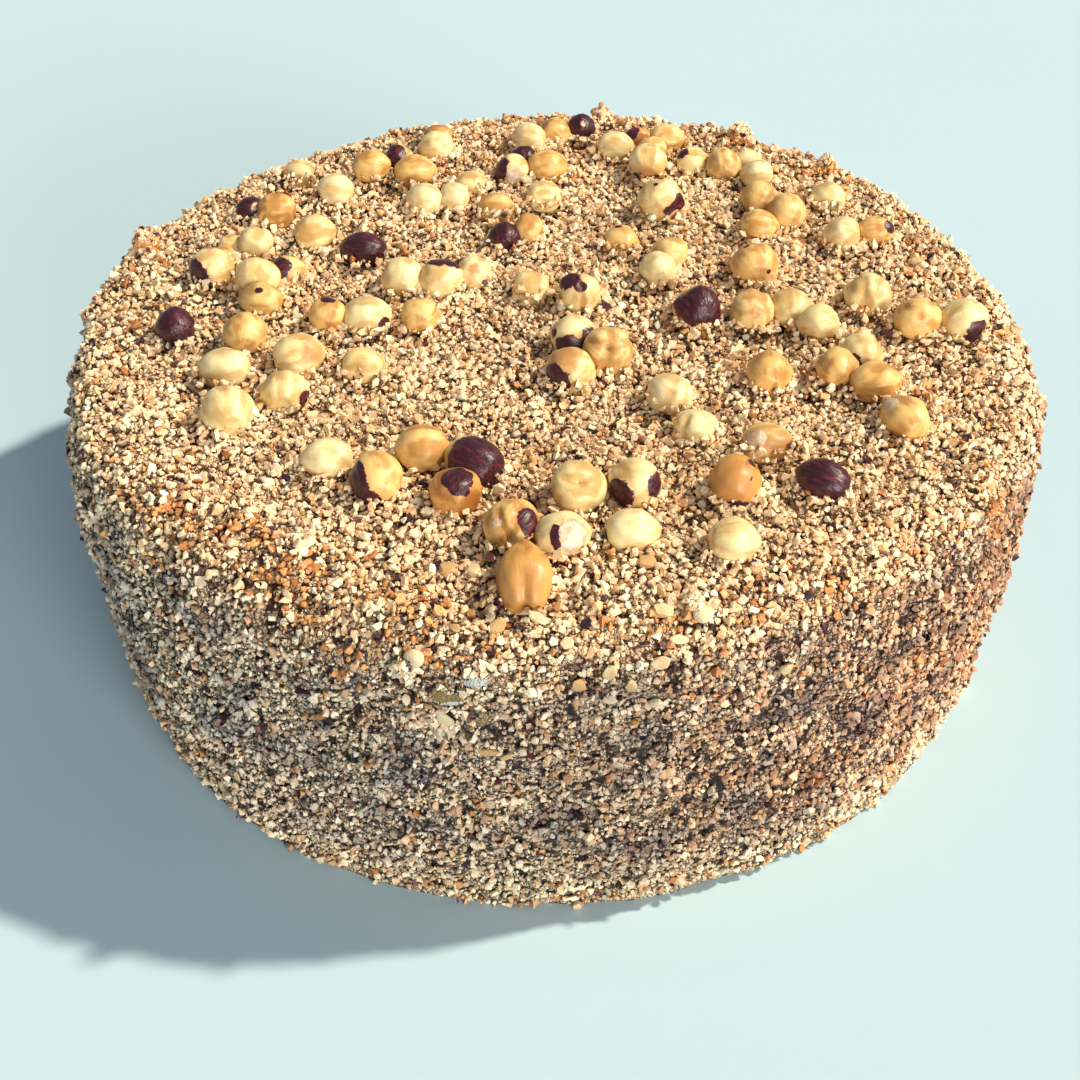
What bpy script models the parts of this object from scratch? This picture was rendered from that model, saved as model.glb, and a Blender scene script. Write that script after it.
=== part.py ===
"""A round cake coated in hazelnut crumbs, with whole hazelnuts scattered over its top.

Metres, +Z up. The origin is the centre of the cake's flat underside. +Y is the cake's back.
"""
import math
import random

import bmesh
import bpy
from mathutils import Matrix, Vector, noise

MM = 0.001
GAP = 0.0003
WELD = 0.00002
FLAT_ANGLE = 0.01
SMOOTH_ANGLE = math.radians(50)

# Cake body
BASE_RADIUS = 0.1300
BELLY_RADIUS = 0.1376
TOP_HEIGHT = 0.1000
SHOULDER_RADIUS = 0.0150
BELLY_HEIGHT = TOP_HEIGHT - SHOULDER_RADIUS
FLAT_RADIUS = BELLY_RADIUS - SHOULDER_RADIUS
BELLY_FULLNESS = 0.85
BELLY_SHIFT = 0.0017
# Where the top's edge is pressed in or bulges: angle in degrees, change of radius, half width in degrees
EDGE_CHANGES = [(17, -0.0050, 21), (160, 0.0030, 18)]

# Crumb coat
CRUMB_SPACING = 0.0070
CRUMB_STRAY = 0.2
CRUMB_HEIGHT = 0.0013
CRUMB_DIP = 0.0002
SWELL_HEIGHT = 0.0012
SWELL_LENGTH = 0.045
CRUMB_SEED = 11

# Hazelnuts
NUT_SEGMENTS = 8
NUT_RINGS = 5
NUT_HEIGHT_SHARE = 0.94
NUT_STRETCH = 1.15
NUT_SUNK = 0.20
NUT_NOSE = 0.22
NUT_LOBES = 4
NUT_LOBE_DEPTH = 0.03
NUT_TILT_DEG = 14.0
TOUCH_SHARE = (0.80, 0.91)
LEAN_START = 0.35
NUT_SEED = 23


def nut(x, y, width, turn, stretch=NUT_STRETCH, sunk=NUT_SUNK, lean=0):
    """One hazelnut: place on the top and width in mm, turn in degrees, length over width, sunk share
    of its height, and degrees that it leans outwards over the top's edge."""
    return {
        "at": Vector((x, y)) * MM,
        "width": width * MM,
        "turn": math.radians(turn),
        "stretch": stretch,
        "sunk": sunk,
        "lean": math.radians(lean),
    }


# Hazelnuts by group. Those of one group touch.
NUT_GROUPS = [
    [nut(-36, 98, 10.5, 180), nut(-36, 107, 10.5, 170, 1.1, 0.4)],
    [nut(-42, 82, 11.5, 15, 1.25, 0.3), nut(-48, 91, 9.5, 70), nut(-57, 84, 11, 0)],
    [nut(-79, 84, 10, 170, 1.15, 0.45)],
    [nut(-66, 69, 11, 175, 1.1)],
    [nut(-83, 56, 12.5, 80, 1.1, 0.25), nut(-90, 59, 9, 10, 1.15, 0.35)],
    [nut(-70, 42, 11.5, 15)],
    [nut(-98, 23, 13, 60, 1.1, 0.3), nut(-96, 32, 8, 0, 1.05, 0.4), nut(-95, 39, 8, 175, 1.05, 0.4),
     nut(-87, 37, 10.5, 80, 1.1)],
    [nut(-82, 5, 11, 170, 1.2, 0.25), nut(-84, 15, 13.5, 90, 1), nut(-77, 21, 11, 20, 1.1, 0.35)],
    [nut(-55, 34, 11, 165, 1.35, 0.3)],
    [nut(-31, 15, 12.5, 90, 1), nut(-44, 17, 12.5, 80, 1.1, 0.25), nut(-21, 21, 10.5, 75, 1.2, 0.3)],
    [nut(-13, 41, 10, 100, 1.05, 0.3), nut(-6, 45, 9.5, 70, 1.1)],
    [nut(-16, 61, 11, 5, 1.15, 0.45)],
    [nut(-24, 76, 10, 10, 1.15, 0.45)],
    [nut(-38, 63, 10.5, 165), nut(-29, 65, 9.5, 90, 1.25)],
    [nut(-11, 82, 11, 60, 1.1, 0.25), nut(-8, 90, 9, 95), nut(0, 84, 11.5, 10, 1.2, 0.25)],
    [nut(-6, 105, 10, 165, 1.2, 0.25), nut(3, 110, 10.5, 80, 1.05, 0.3), nut(12, 112, 9, 90)],
    [nut(32, 85, 12.5, 90), nut(34, 96, 9, 170, 1.1), nut(40, 105, 10.5, 15, 1.2, 0.25),
     nut(29, 104, 9, 10, 1.1), nut(22, 98, 10.5, 5, 1.2, 0.25)],
    [nut(66, 78, 10, 170, 1.1), nut(64, 86, 9, 15, 1.1), nut(56, 84, 11, 90, 1.25),
     nut(46, 88, 9.5, 0, 1.2, 0.25)],
    [nut(64, 46, 10.5, 5, 1.2, 0.25), nut(74, 54, 12, 90), nut(65, 62, 11.5, 85)],
    [nut(60, 21, 14, 100, 1.05)],
    [nut(87, 65, 11.5, 170, 1.05, 0.4)],
    [nut(88, 40, 11, 175, 1.05), nut(99, 42, 10, 0)],
    [nut(35, 60, 14, 60, 1.2)],
    [nut(22, 40, 10, 10, 1.15, 0.4)],
    [nut(32, 20, 11, 90), nut(36, 30, 10.5, 165, 1.1)],
    [nut(-5, 14, 11, 90, 1.15, 0.45)],
    [nut(9, 7, 12, 80, 1.1)],
    [nut(42, -2, 13.5, 100, 1.05, 0.25)],
    [nut(75, -10, 11.5, 180, 1.05), nut(67, 0, 11.5, 90, 1.2), nut(57, -3, 12.5, 90)],
    [nut(91, 5, 13.5, 70, 1.1, 0.25)],
    [nut(103, -8, 12.5, 10), nut(116, -8, 12.5, 30, 1.2, 0.25)],
    [nut(87, -38, 11.5, 10, 1.3, 0.25), nut(76, -31, 11.5, 85), nut(86, -23, 11.5, 100, 1.15, 0.25)],
    [nut(59, -34, 12, 80)],
    [nut(6, -31, 13.5, 75, 1.05, 0.3), nut(16, -24, 14, 120, 1.1), nut(7, -16, 12.5, 15, 1.1)],
    [nut(32, -42, 12, 110, 1.35, 0.35)],
    [nut(56, -63, 11, 5, 1.3, 0.4)],
    [nut(92, -55, 11.5, 115, 1.4)],
    [nut(68, -81, 10.5, 155, 1.35)],
    [nut(46, -82, 13, 75)],
    [nut(44, -105, 11.5, 5)],
    [nut(21, -83, 13.5, 105, 1.1)],
    [nut(20, -101, 11.5, 5, 1.2)],
    [nut(3, -103, 12, 10, 1.2), nut(-10, -99, 13.5, 60, 1.1)],
    [nut(-6, -117, 13.5, 90, 1.4, 0.2, 22)],
    [nut(7, -85, 14, 100)],
    [nut(-23, -86, 13, 70, 1.1), nut(-19, -73, 14, 140, 1.2, 0.25), nut(-33, -68, 13.5, 180, 1.05)],
    [nut(-43, -80, 13.5, 100)],
    [nut(-36, -4, 11, 90, 1.05)],
    [nut(-51, -4, 12, 0, 1.2, 0.25), nut(-62, -4, 11, 90, 1.05)],
    [nut(-84, -13, 12, 95, 1.2)],
    [nut(-68, -25, 13, 10)],
    [nut(-70, -42, 12.5, 90, 1.05)],
    [nut(-50, -28, 11.5, 0, 1.15, 0.35)],
    [nut(-88, -29, 12, 170, 1.3, 0.3)],
    [nut(-84, -50, 14, 110, 1.1, 0.25)],
    [nut(-104, -9, 11, 110, 1.2)],
    [nut(-1, 67, 10.5, 15, 1.15, 0.35)],
    [nut(38, -57, 9.5, 10, 1.3, 0.25)],
    [nut(-56, -71, 11.5, 195, 1.2, 0.25)],
]

# Chopped pieces that stand out of the coat: angle in degrees, height and size in mm. A height of None
# puts the piece on the top's edge.
CHOPPED_PIECES = [
    (-104, 90, 6.0), (-101, 73, 6.0), (-79, 55, 5.5), (-75, None, 5.0),
    (60, None, 7.5), (45, None, 7.0), (160, None, 6.5), (82, None, 4.0),
]
CHOPPED_REACH = 0.35
CHOPPED_RISE = 0.2
CHOPPED_UNEVEN = 0.15


def clear_scene():
    """Remove every object of the open scene."""
    for obj in list(bpy.data.objects):
        bpy.data.objects.remove(obj, do_unlink=True)


def food_material(name, colour, roughness):
    """A non-metallic material of one colour."""
    material = bpy.data.materials.new(name)
    material.use_nodes = True
    shader = material.node_tree.nodes["Principled BSDF"]
    shader.inputs["Base Color"].default_value = (*colour, 1.0)
    shader.inputs["Roughness"].default_value = roughness
    shader.inputs["Metallic"].default_value = 0.0
    material.diffuse_color = (*colour, 1.0)
    return material


def crumb_material():
    """Toasted hazelnut crumbs."""
    return food_material("hazelnut_crumbs", (0.62, 0.42, 0.22), 0.9)


def nut_material():
    """Blanched, lightly roasted hazelnut."""
    return food_material("roasted_hazelnut", (0.80, 0.57, 0.25), 0.55)


def object_from(bm, name, material):
    """Close a bmesh into a named object with one material."""
    bmesh.ops.triangulate(bm, faces=bm.faces[:])
    bmesh.ops.recalc_face_normals(bm, faces=bm.faces[:])
    mesh = bpy.data.meshes.new(name)
    bm.to_mesh(mesh)
    bm.free()
    mesh.materials.append(material)
    obj = bpy.data.objects.new(name, mesh)
    bpy.context.scene.collection.objects.link(obj)
    return obj


def fuse(obj, pieces):
    """Join the pieces to the object by one union, and remove them."""
    if not pieces:
        return
    collection = bpy.data.collections.new("fused_" + obj.name)
    bpy.context.scene.collection.children.link(collection)
    for piece in pieces:
        bpy.context.scene.collection.objects.unlink(piece)
        collection.objects.link(piece)
    union = obj.modifiers.new("fuse", "BOOLEAN")
    union.operation = "UNION"
    union.operand_type = "COLLECTION"
    union.collection = collection
    union.solver = "EXACT"
    graph = bpy.context.evaluated_depsgraph_get()
    finished = bpy.data.meshes.new_from_object(obj.evaluated_get(graph), depsgraph=graph)
    obj.modifiers.clear()
    obj.data = finished
    for piece in pieces:
        bpy.data.objects.remove(piece, do_unlink=True)
    bpy.data.collections.remove(collection)


def wall_radius(height):
    """Radius of the wall under the shoulder: narrow at the foot, full at the belly."""
    share = math.sin(0.5 * math.pi * height / BELLY_HEIGHT) ** BELLY_FULLNESS if height > 0 else 0.0
    return BASE_RADIUS + (BELLY_RADIUS - BASE_RADIUS) * share


def profile():
    """Points (radius, height) from the middle of the top, over the shoulder, down to the foot."""
    flat_steps = round(FLAT_RADIUS / CRUMB_SPACING)
    arc_steps = round(0.5 * math.pi * SHOULDER_RADIUS / CRUMB_SPACING)
    wall_steps = round(BELLY_HEIGHT / CRUMB_SPACING)
    points = [(FLAT_RADIUS * k / flat_steps, TOP_HEIGHT) for k in range(1, flat_steps + 1)]
    for k in range(1, arc_steps + 1):
        a = 0.5 * math.pi * k / arc_steps
        radius = FLAT_RADIUS + SHOULDER_RADIUS * math.sin(a)
        points.append((radius, BELLY_HEIGHT + SHOULDER_RADIUS * math.cos(a)))
    for k in range(1, wall_steps + 1):
        height = BELLY_HEIGHT * (1 - k / wall_steps)
        points.append((wall_radius(height), height))
    return points


def edge_change(angle, radius, height):
    """How far the coat is pressed in or bulges, strongest at the top's edge."""
    upper = min(height / BELLY_HEIGHT, 1.0) ** 2
    outer = min(radius / FLAT_RADIUS, 1.0) ** 4
    total = 0.0
    for centre, change, width in EDGE_CHANGES:
        away = (math.degrees(angle) - centre + 180) % 360 - 180
        total += change * math.exp(-(away / width) ** 2)
    return total * upper * outer


def swell(point):
    """Slow unevenness of the coat at a point."""
    return SWELL_HEIGHT * noise.noise(point / SWELL_LENGTH)


def bed_height(one, place):
    """Height of the level or leaning bed that a nut has in the coat, at a place seen from above."""
    out = max(0.0, place.length - one["at"].length + LEAN_START * one["width"])
    return TOP_HEIGHT - math.tan(one["lean"]) * out


def pressed_height(place):
    """Height to which a nut presses the coat at a place, or None clear of the nuts."""
    for one in sum(NUT_GROUPS, []):
        reach = 0.5 * one["width"]
        if one["lean"]:
            reach = reach * one["stretch"] + 0.5 * CRUMB_SPACING
        if (place - one["at"]).length < reach:
            return bed_height(one, place)
    return None


def crumb_ring(bm, rng, radius, height):
    """One ring of uneven points. The top only dips, and the foot's ring stays on the ground plane."""
    count = max(6, round(2 * math.pi * radius / CRUMB_SPACING))
    start = rng.random()
    flare = min(height / BELLY_HEIGHT, 1.0)
    slope = min(max(radius - FLAT_RADIUS, 0.0) / SHOULDER_RADIUS, 1.0)
    ring = []
    for k in range(count):
        a = 2 * math.pi * (k + start + rng.uniform(-CRUMB_STRAY, CRUMB_STRAY)) / count
        outward = Vector((math.cos(a), math.sin(a), 0.0))
        place = outward * (radius + edge_change(a, radius, height))
        place += Vector((BELLY_SHIFT * flare, 0.0, height))
        bump = rng.uniform(-1.0, 1.0) * CRUMB_HEIGHT + swell(place)
        pressed = pressed_height(place.xy)
        if pressed is not None:
            place.z = min(place.z, pressed)
        elif height >= TOP_HEIGHT:
            place.z -= abs(bump) + CRUMB_DIP
        elif height <= 0.0:
            place += outward * min(bump, 0.0)
        else:
            rise = math.sqrt(1 - slope ** 2) if height >= BELLY_HEIGHT else 0.0
            place += (outward * slope + Vector((0.0, 0.0, rise))) * bump
        ring.append(bm.verts.new(place))
    return ring


def angle_of(vert):
    """Angle of a point around the axis."""
    return math.atan2(vert.co.y, vert.co.x) % (2 * math.pi)


def join_rings(bm, inner, outer):
    """A strip of triangles between two rings with different numbers of points."""
    inner = sorted(inner, key=angle_of)
    outer = sorted(outer, key=angle_of)
    i = j = 0
    while i < len(inner) or j < len(outer):
        a, b = inner[i % len(inner)], outer[j % len(outer)]
        next_a = angle_of(inner[(i + 1) % len(inner)]) + 2 * math.pi * ((i + 1) // len(inner))
        next_b = angle_of(outer[(j + 1) % len(outer)]) + 2 * math.pi * ((j + 1) // len(outer))
        if j >= len(outer) or (i < len(inner) and next_a < next_b):
            bm.faces.new((a, b, inner[(i + 1) % len(inner)]))
            i += 1
        else:
            bm.faces.new((a, b, outer[(j + 1) % len(outer)]))
            j += 1


def cake_body(material):
    """The crumb-coated body, with a flat underside."""
    rng = random.Random(CRUMB_SEED)
    bm = bmesh.new()
    rings = [crumb_ring(bm, rng, radius, height) for radius, height in profile()]
    middle = bm.verts.new((BELLY_SHIFT, 0.0, TOP_HEIGHT))
    first = sorted(rings[0], key=angle_of)
    for k, vert in enumerate(first):
        bm.faces.new((middle, vert, first[(k + 1) % len(first)]))
    for inner, outer in zip(rings, rings[1:]):
        join_rings(bm, inner, outer)
    bm.faces.new(sorted(rings[-1], key=angle_of))
    return object_from(bm, "cake", material)


def chopped_piece(index, angle, height, size, material):
    """A chopped bit of nut, half sunk in the coat."""
    rng = random.Random(CRUMB_SEED + index)
    size *= MM
    if height is None:
        radius = FLAT_RADIUS + CHOPPED_REACH * SHOULDER_RADIUS
        level = BELLY_HEIGHT + SHOULDER_RADIUS * math.sqrt(1 - CHOPPED_REACH ** 2) + CHOPPED_RISE * size
    else:
        radius = wall_radius(height * MM) + CHOPPED_RISE * size
        level = height * MM
    a = math.radians(angle)
    radius += edge_change(a, radius, level)
    bm = bmesh.new()
    bmesh.ops.create_icosphere(bm, subdivisions=1, radius=0.5 * size)
    for vert in bm.verts:
        vert.co *= 1 + rng.uniform(-CHOPPED_UNEVEN, CHOPPED_UNEVEN)
    roll = Matrix.Rotation(rng.uniform(0, math.pi), 3, "X")
    bmesh.ops.rotate(bm, verts=bm.verts[:], cent=(0, 0, 0), matrix=roll)
    bmesh.ops.translate(bm, verts=bm.verts[:], vec=(radius * math.cos(a), radius * math.sin(a), level))
    return object_from(bm, f"chopped_{index}", material)


def make_cake(material):
    """The body with its larger chopped pieces fused on."""
    body = cake_body(material)
    fuse(body, [chopped_piece(k, *row, material) for k, row in enumerate(CHOPPED_PIECES)])


def plan_reach(size, way):
    """How far a kernel, seen from above, reaches from its centre towards a direction."""
    angle = math.atan2(way.y, way.x) - size["turn"]
    longer = size["stretch"]
    return 0.5 * size["width"] * longer / math.hypot(math.cos(angle), longer * math.sin(angle))


def settle(group):
    """Move the later nuts of a group so that each touches its nearest earlier neighbour."""
    for k in range(1, len(group)):
        here = group[k]
        near = min(group[:k], key=lambda other: (other["at"] - here["at"]).length)
        away = here["at"] - near["at"]
        reach = plan_reach(here, away) + plan_reach(near, away)
        distance = min(max(away.length, TOUCH_SHARE[0] * reach), TOUCH_SHARE[1] * reach)
        here["at"] = near["at"] + away.normalized() * distance


def shape_kernel(bm, size, roll):
    """Shape a unit sphere with its poles on X into an egg with a blunt nose and shallow long lobes."""
    half = 0.5 * size["width"]
    for vert in bm.verts:
        x, y, z = vert.co
        taper = 1 - NUT_NOSE * max(x, 0.0) ** 2
        lobe = 1 + NUT_LOBE_DEPTH * math.cos(NUT_LOBES * math.atan2(z, y) + roll) * (1 - x * x)
        girth = taper * lobe
        vert.co = Vector((x * size["stretch"], y * girth, z * girth * NUT_HEIGHT_SHARE)) * half


def hazelnut(name, size, rng, material):
    """One kernel, lying on its bed."""
    tilt = math.radians(rng.uniform(-NUT_TILT_DEG, NUT_TILT_DEG)) if not size["lean"] else 0.0
    roll = rng.uniform(0, 2 * math.pi)
    bm = bmesh.new()
    bmesh.ops.create_uvsphere(bm, u_segments=NUT_SEGMENTS, v_segments=NUT_RINGS, radius=1.0)
    bmesh.ops.rotate(bm, verts=bm.verts[:], cent=(0, 0, 0), matrix=Matrix.Rotation(math.pi / 2, 3, "Y"))
    shape_kernel(bm, size, roll)
    across = Vector((-size["at"].y, size["at"].x, 0.0))
    lying = Matrix.Rotation(size["turn"], 3, "Z") @ Matrix.Rotation(tilt, 3, "Y")
    spin = Matrix.Rotation(size["lean"], 3, across) @ lying
    bmesh.ops.rotate(bm, verts=bm.verts[:], cent=(0, 0, 0), matrix=spin)
    rise = size["width"] * NUT_HEIGHT_SHARE * (0.5 - size["sunk"])
    bmesh.ops.translate(bm, verts=bm.verts[:], vec=(*size["at"], bed_height(size, size["at"]) + rise))
    return object_from(bm, name, material)


def level_underside(obj, size):
    """Press the underside flat a gap above the bed. Every nut's widest part is higher than that."""
    bm = bmesh.new()
    bm.from_mesh(obj.data)
    pressed = set()
    for vert in bm.verts:
        bed = bed_height(size, vert.co.xy) + GAP
        if vert.co.z < bed:
            vert.co.z = bed
            pressed.add(vert)
    under = [face for face in bm.faces if all(vert in pressed for vert in face.verts)]
    inner = list({edge for face in under for edge in face.edges})
    bmesh.ops.dissolve_limit(bm, angle_limit=FLAT_ANGLE, edges=inner, verts=[])
    bmesh.ops.remove_doubles(bm, verts=bm.verts[:], dist=WELD)
    bmesh.ops.triangulate(bm, faces=bm.faces[:])
    bmesh.ops.recalc_face_normals(bm, faces=bm.faces[:])
    bm.to_mesh(obj.data)
    bm.free()


def make_nuts(material):
    """Every group of touching hazelnuts as one object."""
    rng = random.Random(NUT_SEED)
    for number, group in enumerate(NUT_GROUPS, start=1):
        name = f"hazelnut_{number:02d}" if len(group) == 1 else f"hazelnuts_{number:02d}"
        whole = hazelnut(name, group[0], rng, material)
        fuse(whole, [hazelnut(f"{name}_touching", size, rng, material) for size in group[1:]])
        level_underside(whole, group[0])


def main():
    """Build the cake and its hazelnuts."""
    clear_scene()
    for group in NUT_GROUPS:
        settle(group)
    make_cake(crumb_material())
    make_nuts(nut_material())
    for obj in bpy.data.objects:
        obj.data.shade_smooth()
        obj.data.set_sharp_from_angle(angle=SMOOTH_ANGLE)


main()
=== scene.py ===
"""The looks of a round hazelnut cake: a coat of chopped nut crumbs, and whole hazelnuts on its top.

Metres, +Z up. The origin is the centre of the cake's underside, and the front faces -Y.
"""

import logging
import math
import random
from dataclasses import dataclass, field
from enum import Enum
from functools import partial

import bmesh
import bpy
import numpy as np
from bmesh.types import BMesh, BMVert
from bpy.types import Material, Mesh, Node, NodeSocket, NodeTree, Object, bpy_prop_collection
from mathutils import Matrix, Vector, noise
from mathutils.kdtree import KDTree


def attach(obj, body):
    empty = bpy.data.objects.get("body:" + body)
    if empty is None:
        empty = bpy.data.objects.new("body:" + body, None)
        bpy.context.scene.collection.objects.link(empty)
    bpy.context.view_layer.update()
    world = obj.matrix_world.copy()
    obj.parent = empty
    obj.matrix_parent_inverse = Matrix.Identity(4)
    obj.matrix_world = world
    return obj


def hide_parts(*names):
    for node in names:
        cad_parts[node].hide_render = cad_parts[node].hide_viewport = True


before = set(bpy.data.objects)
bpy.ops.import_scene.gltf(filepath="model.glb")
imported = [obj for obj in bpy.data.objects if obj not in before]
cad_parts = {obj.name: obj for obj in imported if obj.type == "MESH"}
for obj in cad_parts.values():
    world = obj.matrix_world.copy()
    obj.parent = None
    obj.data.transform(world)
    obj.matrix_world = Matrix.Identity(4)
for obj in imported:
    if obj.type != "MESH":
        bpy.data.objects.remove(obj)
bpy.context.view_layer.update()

LOG = logging.getLogger("hazelnut_cake")
MM = 0.001
Pair = tuple[float, float]
Triple = tuple[float, float, float]
Colour = Triple

# Form of the solids, which the new pieces keep
TOP_HEIGHT = 100 * MM
SHOULDER_RADIUS = 15 * MM
BELLY_HEIGHT = TOP_HEIGHT - SHOULDER_RADIUS
BELLY_RADIUS = 137.6 * MM
FLAT_RADIUS = BELLY_RADIUS - SHOULDER_RADIUS
FOOT_RADIUS = 130 * MM
BELLY_FULLNESS = 0.85
BELLY_SHIFT = 1.7 * MM

# The photograph's viewing angle
LENS = 61.09
SENSOR = 36.0
EYE = Vector((0.0, -443.1, 378.9)) * MM
PITCH_DEG = 39.148
YAW_DEG = -0.382
ROLL_DEG = -0.541


class Wiring:
    """Adds nodes to one node tree and links them."""

    def __init__(self, tree: NodeTree) -> None:
        """Keep the tree to add to."""
        self.tree = tree

    def feed(self, node: Node, inputs: dict) -> None:
        """Link a socket to each input of a node, or set its value.

        Args:
            node: the node.
            inputs: a value or a socket to link for each named or numbered input.
        """
        for name, value in inputs.items():
            if isinstance(value, NodeSocket):
                self.tree.links.new(value, node.inputs[name])
            else:
                node.inputs[name].default_value = value

    def add(self, kind: str, inputs: dict | None = None, **settings: object) -> Node:
        """Add one node.

        Args:
            kind: the node's type name.
            inputs: a value or a socket to link for each named or numbered input.
            settings: the node's own settings.

        Returns:
            The new node.
        """
        node = self.tree.nodes.new(kind)
        for name, value in settings.items():
            setattr(node, name, value)
        self.feed(node, inputs or {})
        return node

    def place(self) -> NodeSocket:
        """Read the place on the piece."""
        return self.add("ShaderNodeTexCoord").outputs["Object"]

    def stored(self, name: str) -> NodeSocket:
        """Read a value that is stored on the mesh's points."""
        return self.add("ShaderNodeAttribute", attribute_name=name).outputs["Fac"]

    def math(self, operation: str, first: object, second: object) -> NodeSocket:
        """Work out one sum, such as POWER, of two values or sockets."""
        return self.add("ShaderNodeMath", {0: first, 1: second}, operation=operation).outputs[0]

    def times(self, first: object, second: object) -> NodeSocket:
        """Multiply two values or sockets."""
        return self.math("MULTIPLY", first, second)

    def plus(self, first: object, second: object) -> NodeSocket:
        """Add two values or sockets."""
        return self.math("ADD", first, second)

    def vector(self, operation: str, inputs: dict) -> NodeSocket:
        """Work out one sum of vectors."""
        return self.add("ShaderNodeVectorMath", inputs, operation=operation).outputs[0]

    def noise(self, place: object, scale: object, detail: float = 2.0,
              roughness: float = 0.5) -> bpy_prop_collection:
        """Add smooth noise.

        Args:
            place: the socket of the coordinates.
            scale: how many swells there are to a metre.
            detail: how many finer layers it has.
            roughness: how strong those are.

        Returns:
            The outputs, Fac and Color.
        """
        inputs = {"Vector": place, "Scale": scale, "Detail": detail, "Roughness": roughness}
        return self.add("ShaderNodeTexNoise", inputs).outputs

    def bump(self, height: object, distance: float, strength: float = 1.0) -> NodeSocket:
        """Turn a height into fine relief."""
        inputs = {"Height": height, "Distance": distance, "Strength": strength}
        return self.add("ShaderNodeBump", inputs).outputs["Normal"]

    def ease(self, value: object, low: float, high: float) -> NodeSocket:
        """Turn a value into a smooth step from 0 at low to 1 at high.

        Args:
            value: the socket to read.
            low: where the step starts.
            high: where it ends.

        Returns:
            The socket with the step.
        """
        inputs = {"Value": value, "From Min": low, "From Max": high}
        return self.add("ShaderNodeMapRange", inputs, interpolation_type="SMOOTHSTEP").outputs[0]

    def blend(self, share: object, first: object, second: object, mode: str = "MIX") -> NodeSocket:
        """Mix two colours.

        Args:
            share: how much of the second colour shows.
            first: the first colour or socket.
            second: the second colour or socket.
            mode: how they are mixed, such as MULTIPLY.

        Returns:
            The socket with the mixed colour.
        """
        node = self.add("ShaderNodeMix", {0: share, 6: first, 7: second}, data_type="RGBA", blend_type=mode)
        return node.outputs[2]


def rgba(colour: Colour) -> tuple[float, float, float, float]:
    """Give a colour its full alpha."""
    return (*colour, 1.0)


def new_material(name: str) -> tuple[Material, Wiring, Node]:
    """Start a material with nodes.

    Args:
        name: the material's name.

    Returns:
        The material, the wiring of its tree, and its Principled shader.
    """
    material = bpy.data.materials.new(name)
    material.use_nodes = True
    return material, Wiring(material.node_tree), material.node_tree.nodes["Principled BSDF"]


def start_group(name: str, inputs: dict[str, str], outputs: dict[str, str]) -> Wiring:
    """Start a node group with named inputs and outputs.

    Args:
        name: the group's name.
        inputs: the kind of each input, such as Float.
        outputs: the kind of each output.

    Returns:
        The wiring of the new group.
    """
    group = bpy.data.node_groups.new(name, "ShaderNodeTree")
    for way, sockets in (("INPUT", inputs), ("OUTPUT", outputs)):
        for label, kind in sockets.items():
            group.interface.new_socket(label, in_out=way, socket_type=f"NodeSocket{kind}")
    return Wiring(group)


@dataclass(frozen=True)
class Mottle:
    """The shared effect of nut flesh: two colours in soft patches, with fine grain."""

    name: str = "nut_flesh_mottle"
    patch_detail: float = 3.0
    patch_roughness: float = 0.6
    grain_share: float = 0.45
    deep_reach: Pair = (0.40, 1.0)
    patch_height: float = 0.4
    grain_height: float = 0.8

    def group(self) -> NodeTree:
        """Build the node group, or find it once it is built.

        Returns:
            A node group that puts out a colour and a height.
        """
        if self.name in bpy.data.node_groups:
            return bpy.data.node_groups[self.name]
        inputs = {"Place": "Vector", "Patch scale": "Float", "Grain scale": "Float", "Tone": "Float",
                  "Light": "Color", "Deep": "Color"}
        wiring = start_group(self.name, inputs, {"Color": "Color", "Height": "Float"})
        given = wiring.add("NodeGroupInput").outputs
        patch = wiring.noise(given["Place"], given["Patch scale"], self.patch_detail,
                             self.patch_roughness)["Fac"]
        grain = wiring.noise(given["Place"], given["Grain scale"])["Fac"]
        centred = wiring.math("SUBTRACT", wiring.plus(patch, given["Tone"]), 0.5)
        depth = wiring.plus(centred, wiring.times(grain, self.grain_share))
        colour = wiring.blend(wiring.ease(depth, *self.deep_reach), given["Light"], given["Deep"])
        height = wiring.plus(wiring.times(patch, self.patch_height), wiring.times(grain, self.grain_height))
        wiring.add("NodeGroupOutput", {"Color": colour, "Height": height})
        return wiring.tree

    def lay(self, wiring: Wiring, place: object, scales: Pair, tone: object, light: object,
            deep: object) -> bpy_prop_collection:
        """Lay the effect in a material.

        Args:
            wiring: the material's wiring.
            place: the socket of the coordinates.
            scales: scale of the patches and of the grain.
            tone: how deep the colour is, from 0 to 1.
            light: the pale colour.
            deep: the toasted colour.

        Returns:
            The outputs, Color and Height.
        """
        values = {"Place": place, "Patch scale": scales[0], "Grain scale": scales[1], "Tone": tone,
                  "Light": light, "Deep": deep}
        return wiring.add("ShaderNodeGroup", values, node_tree=self.group()).outputs


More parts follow.
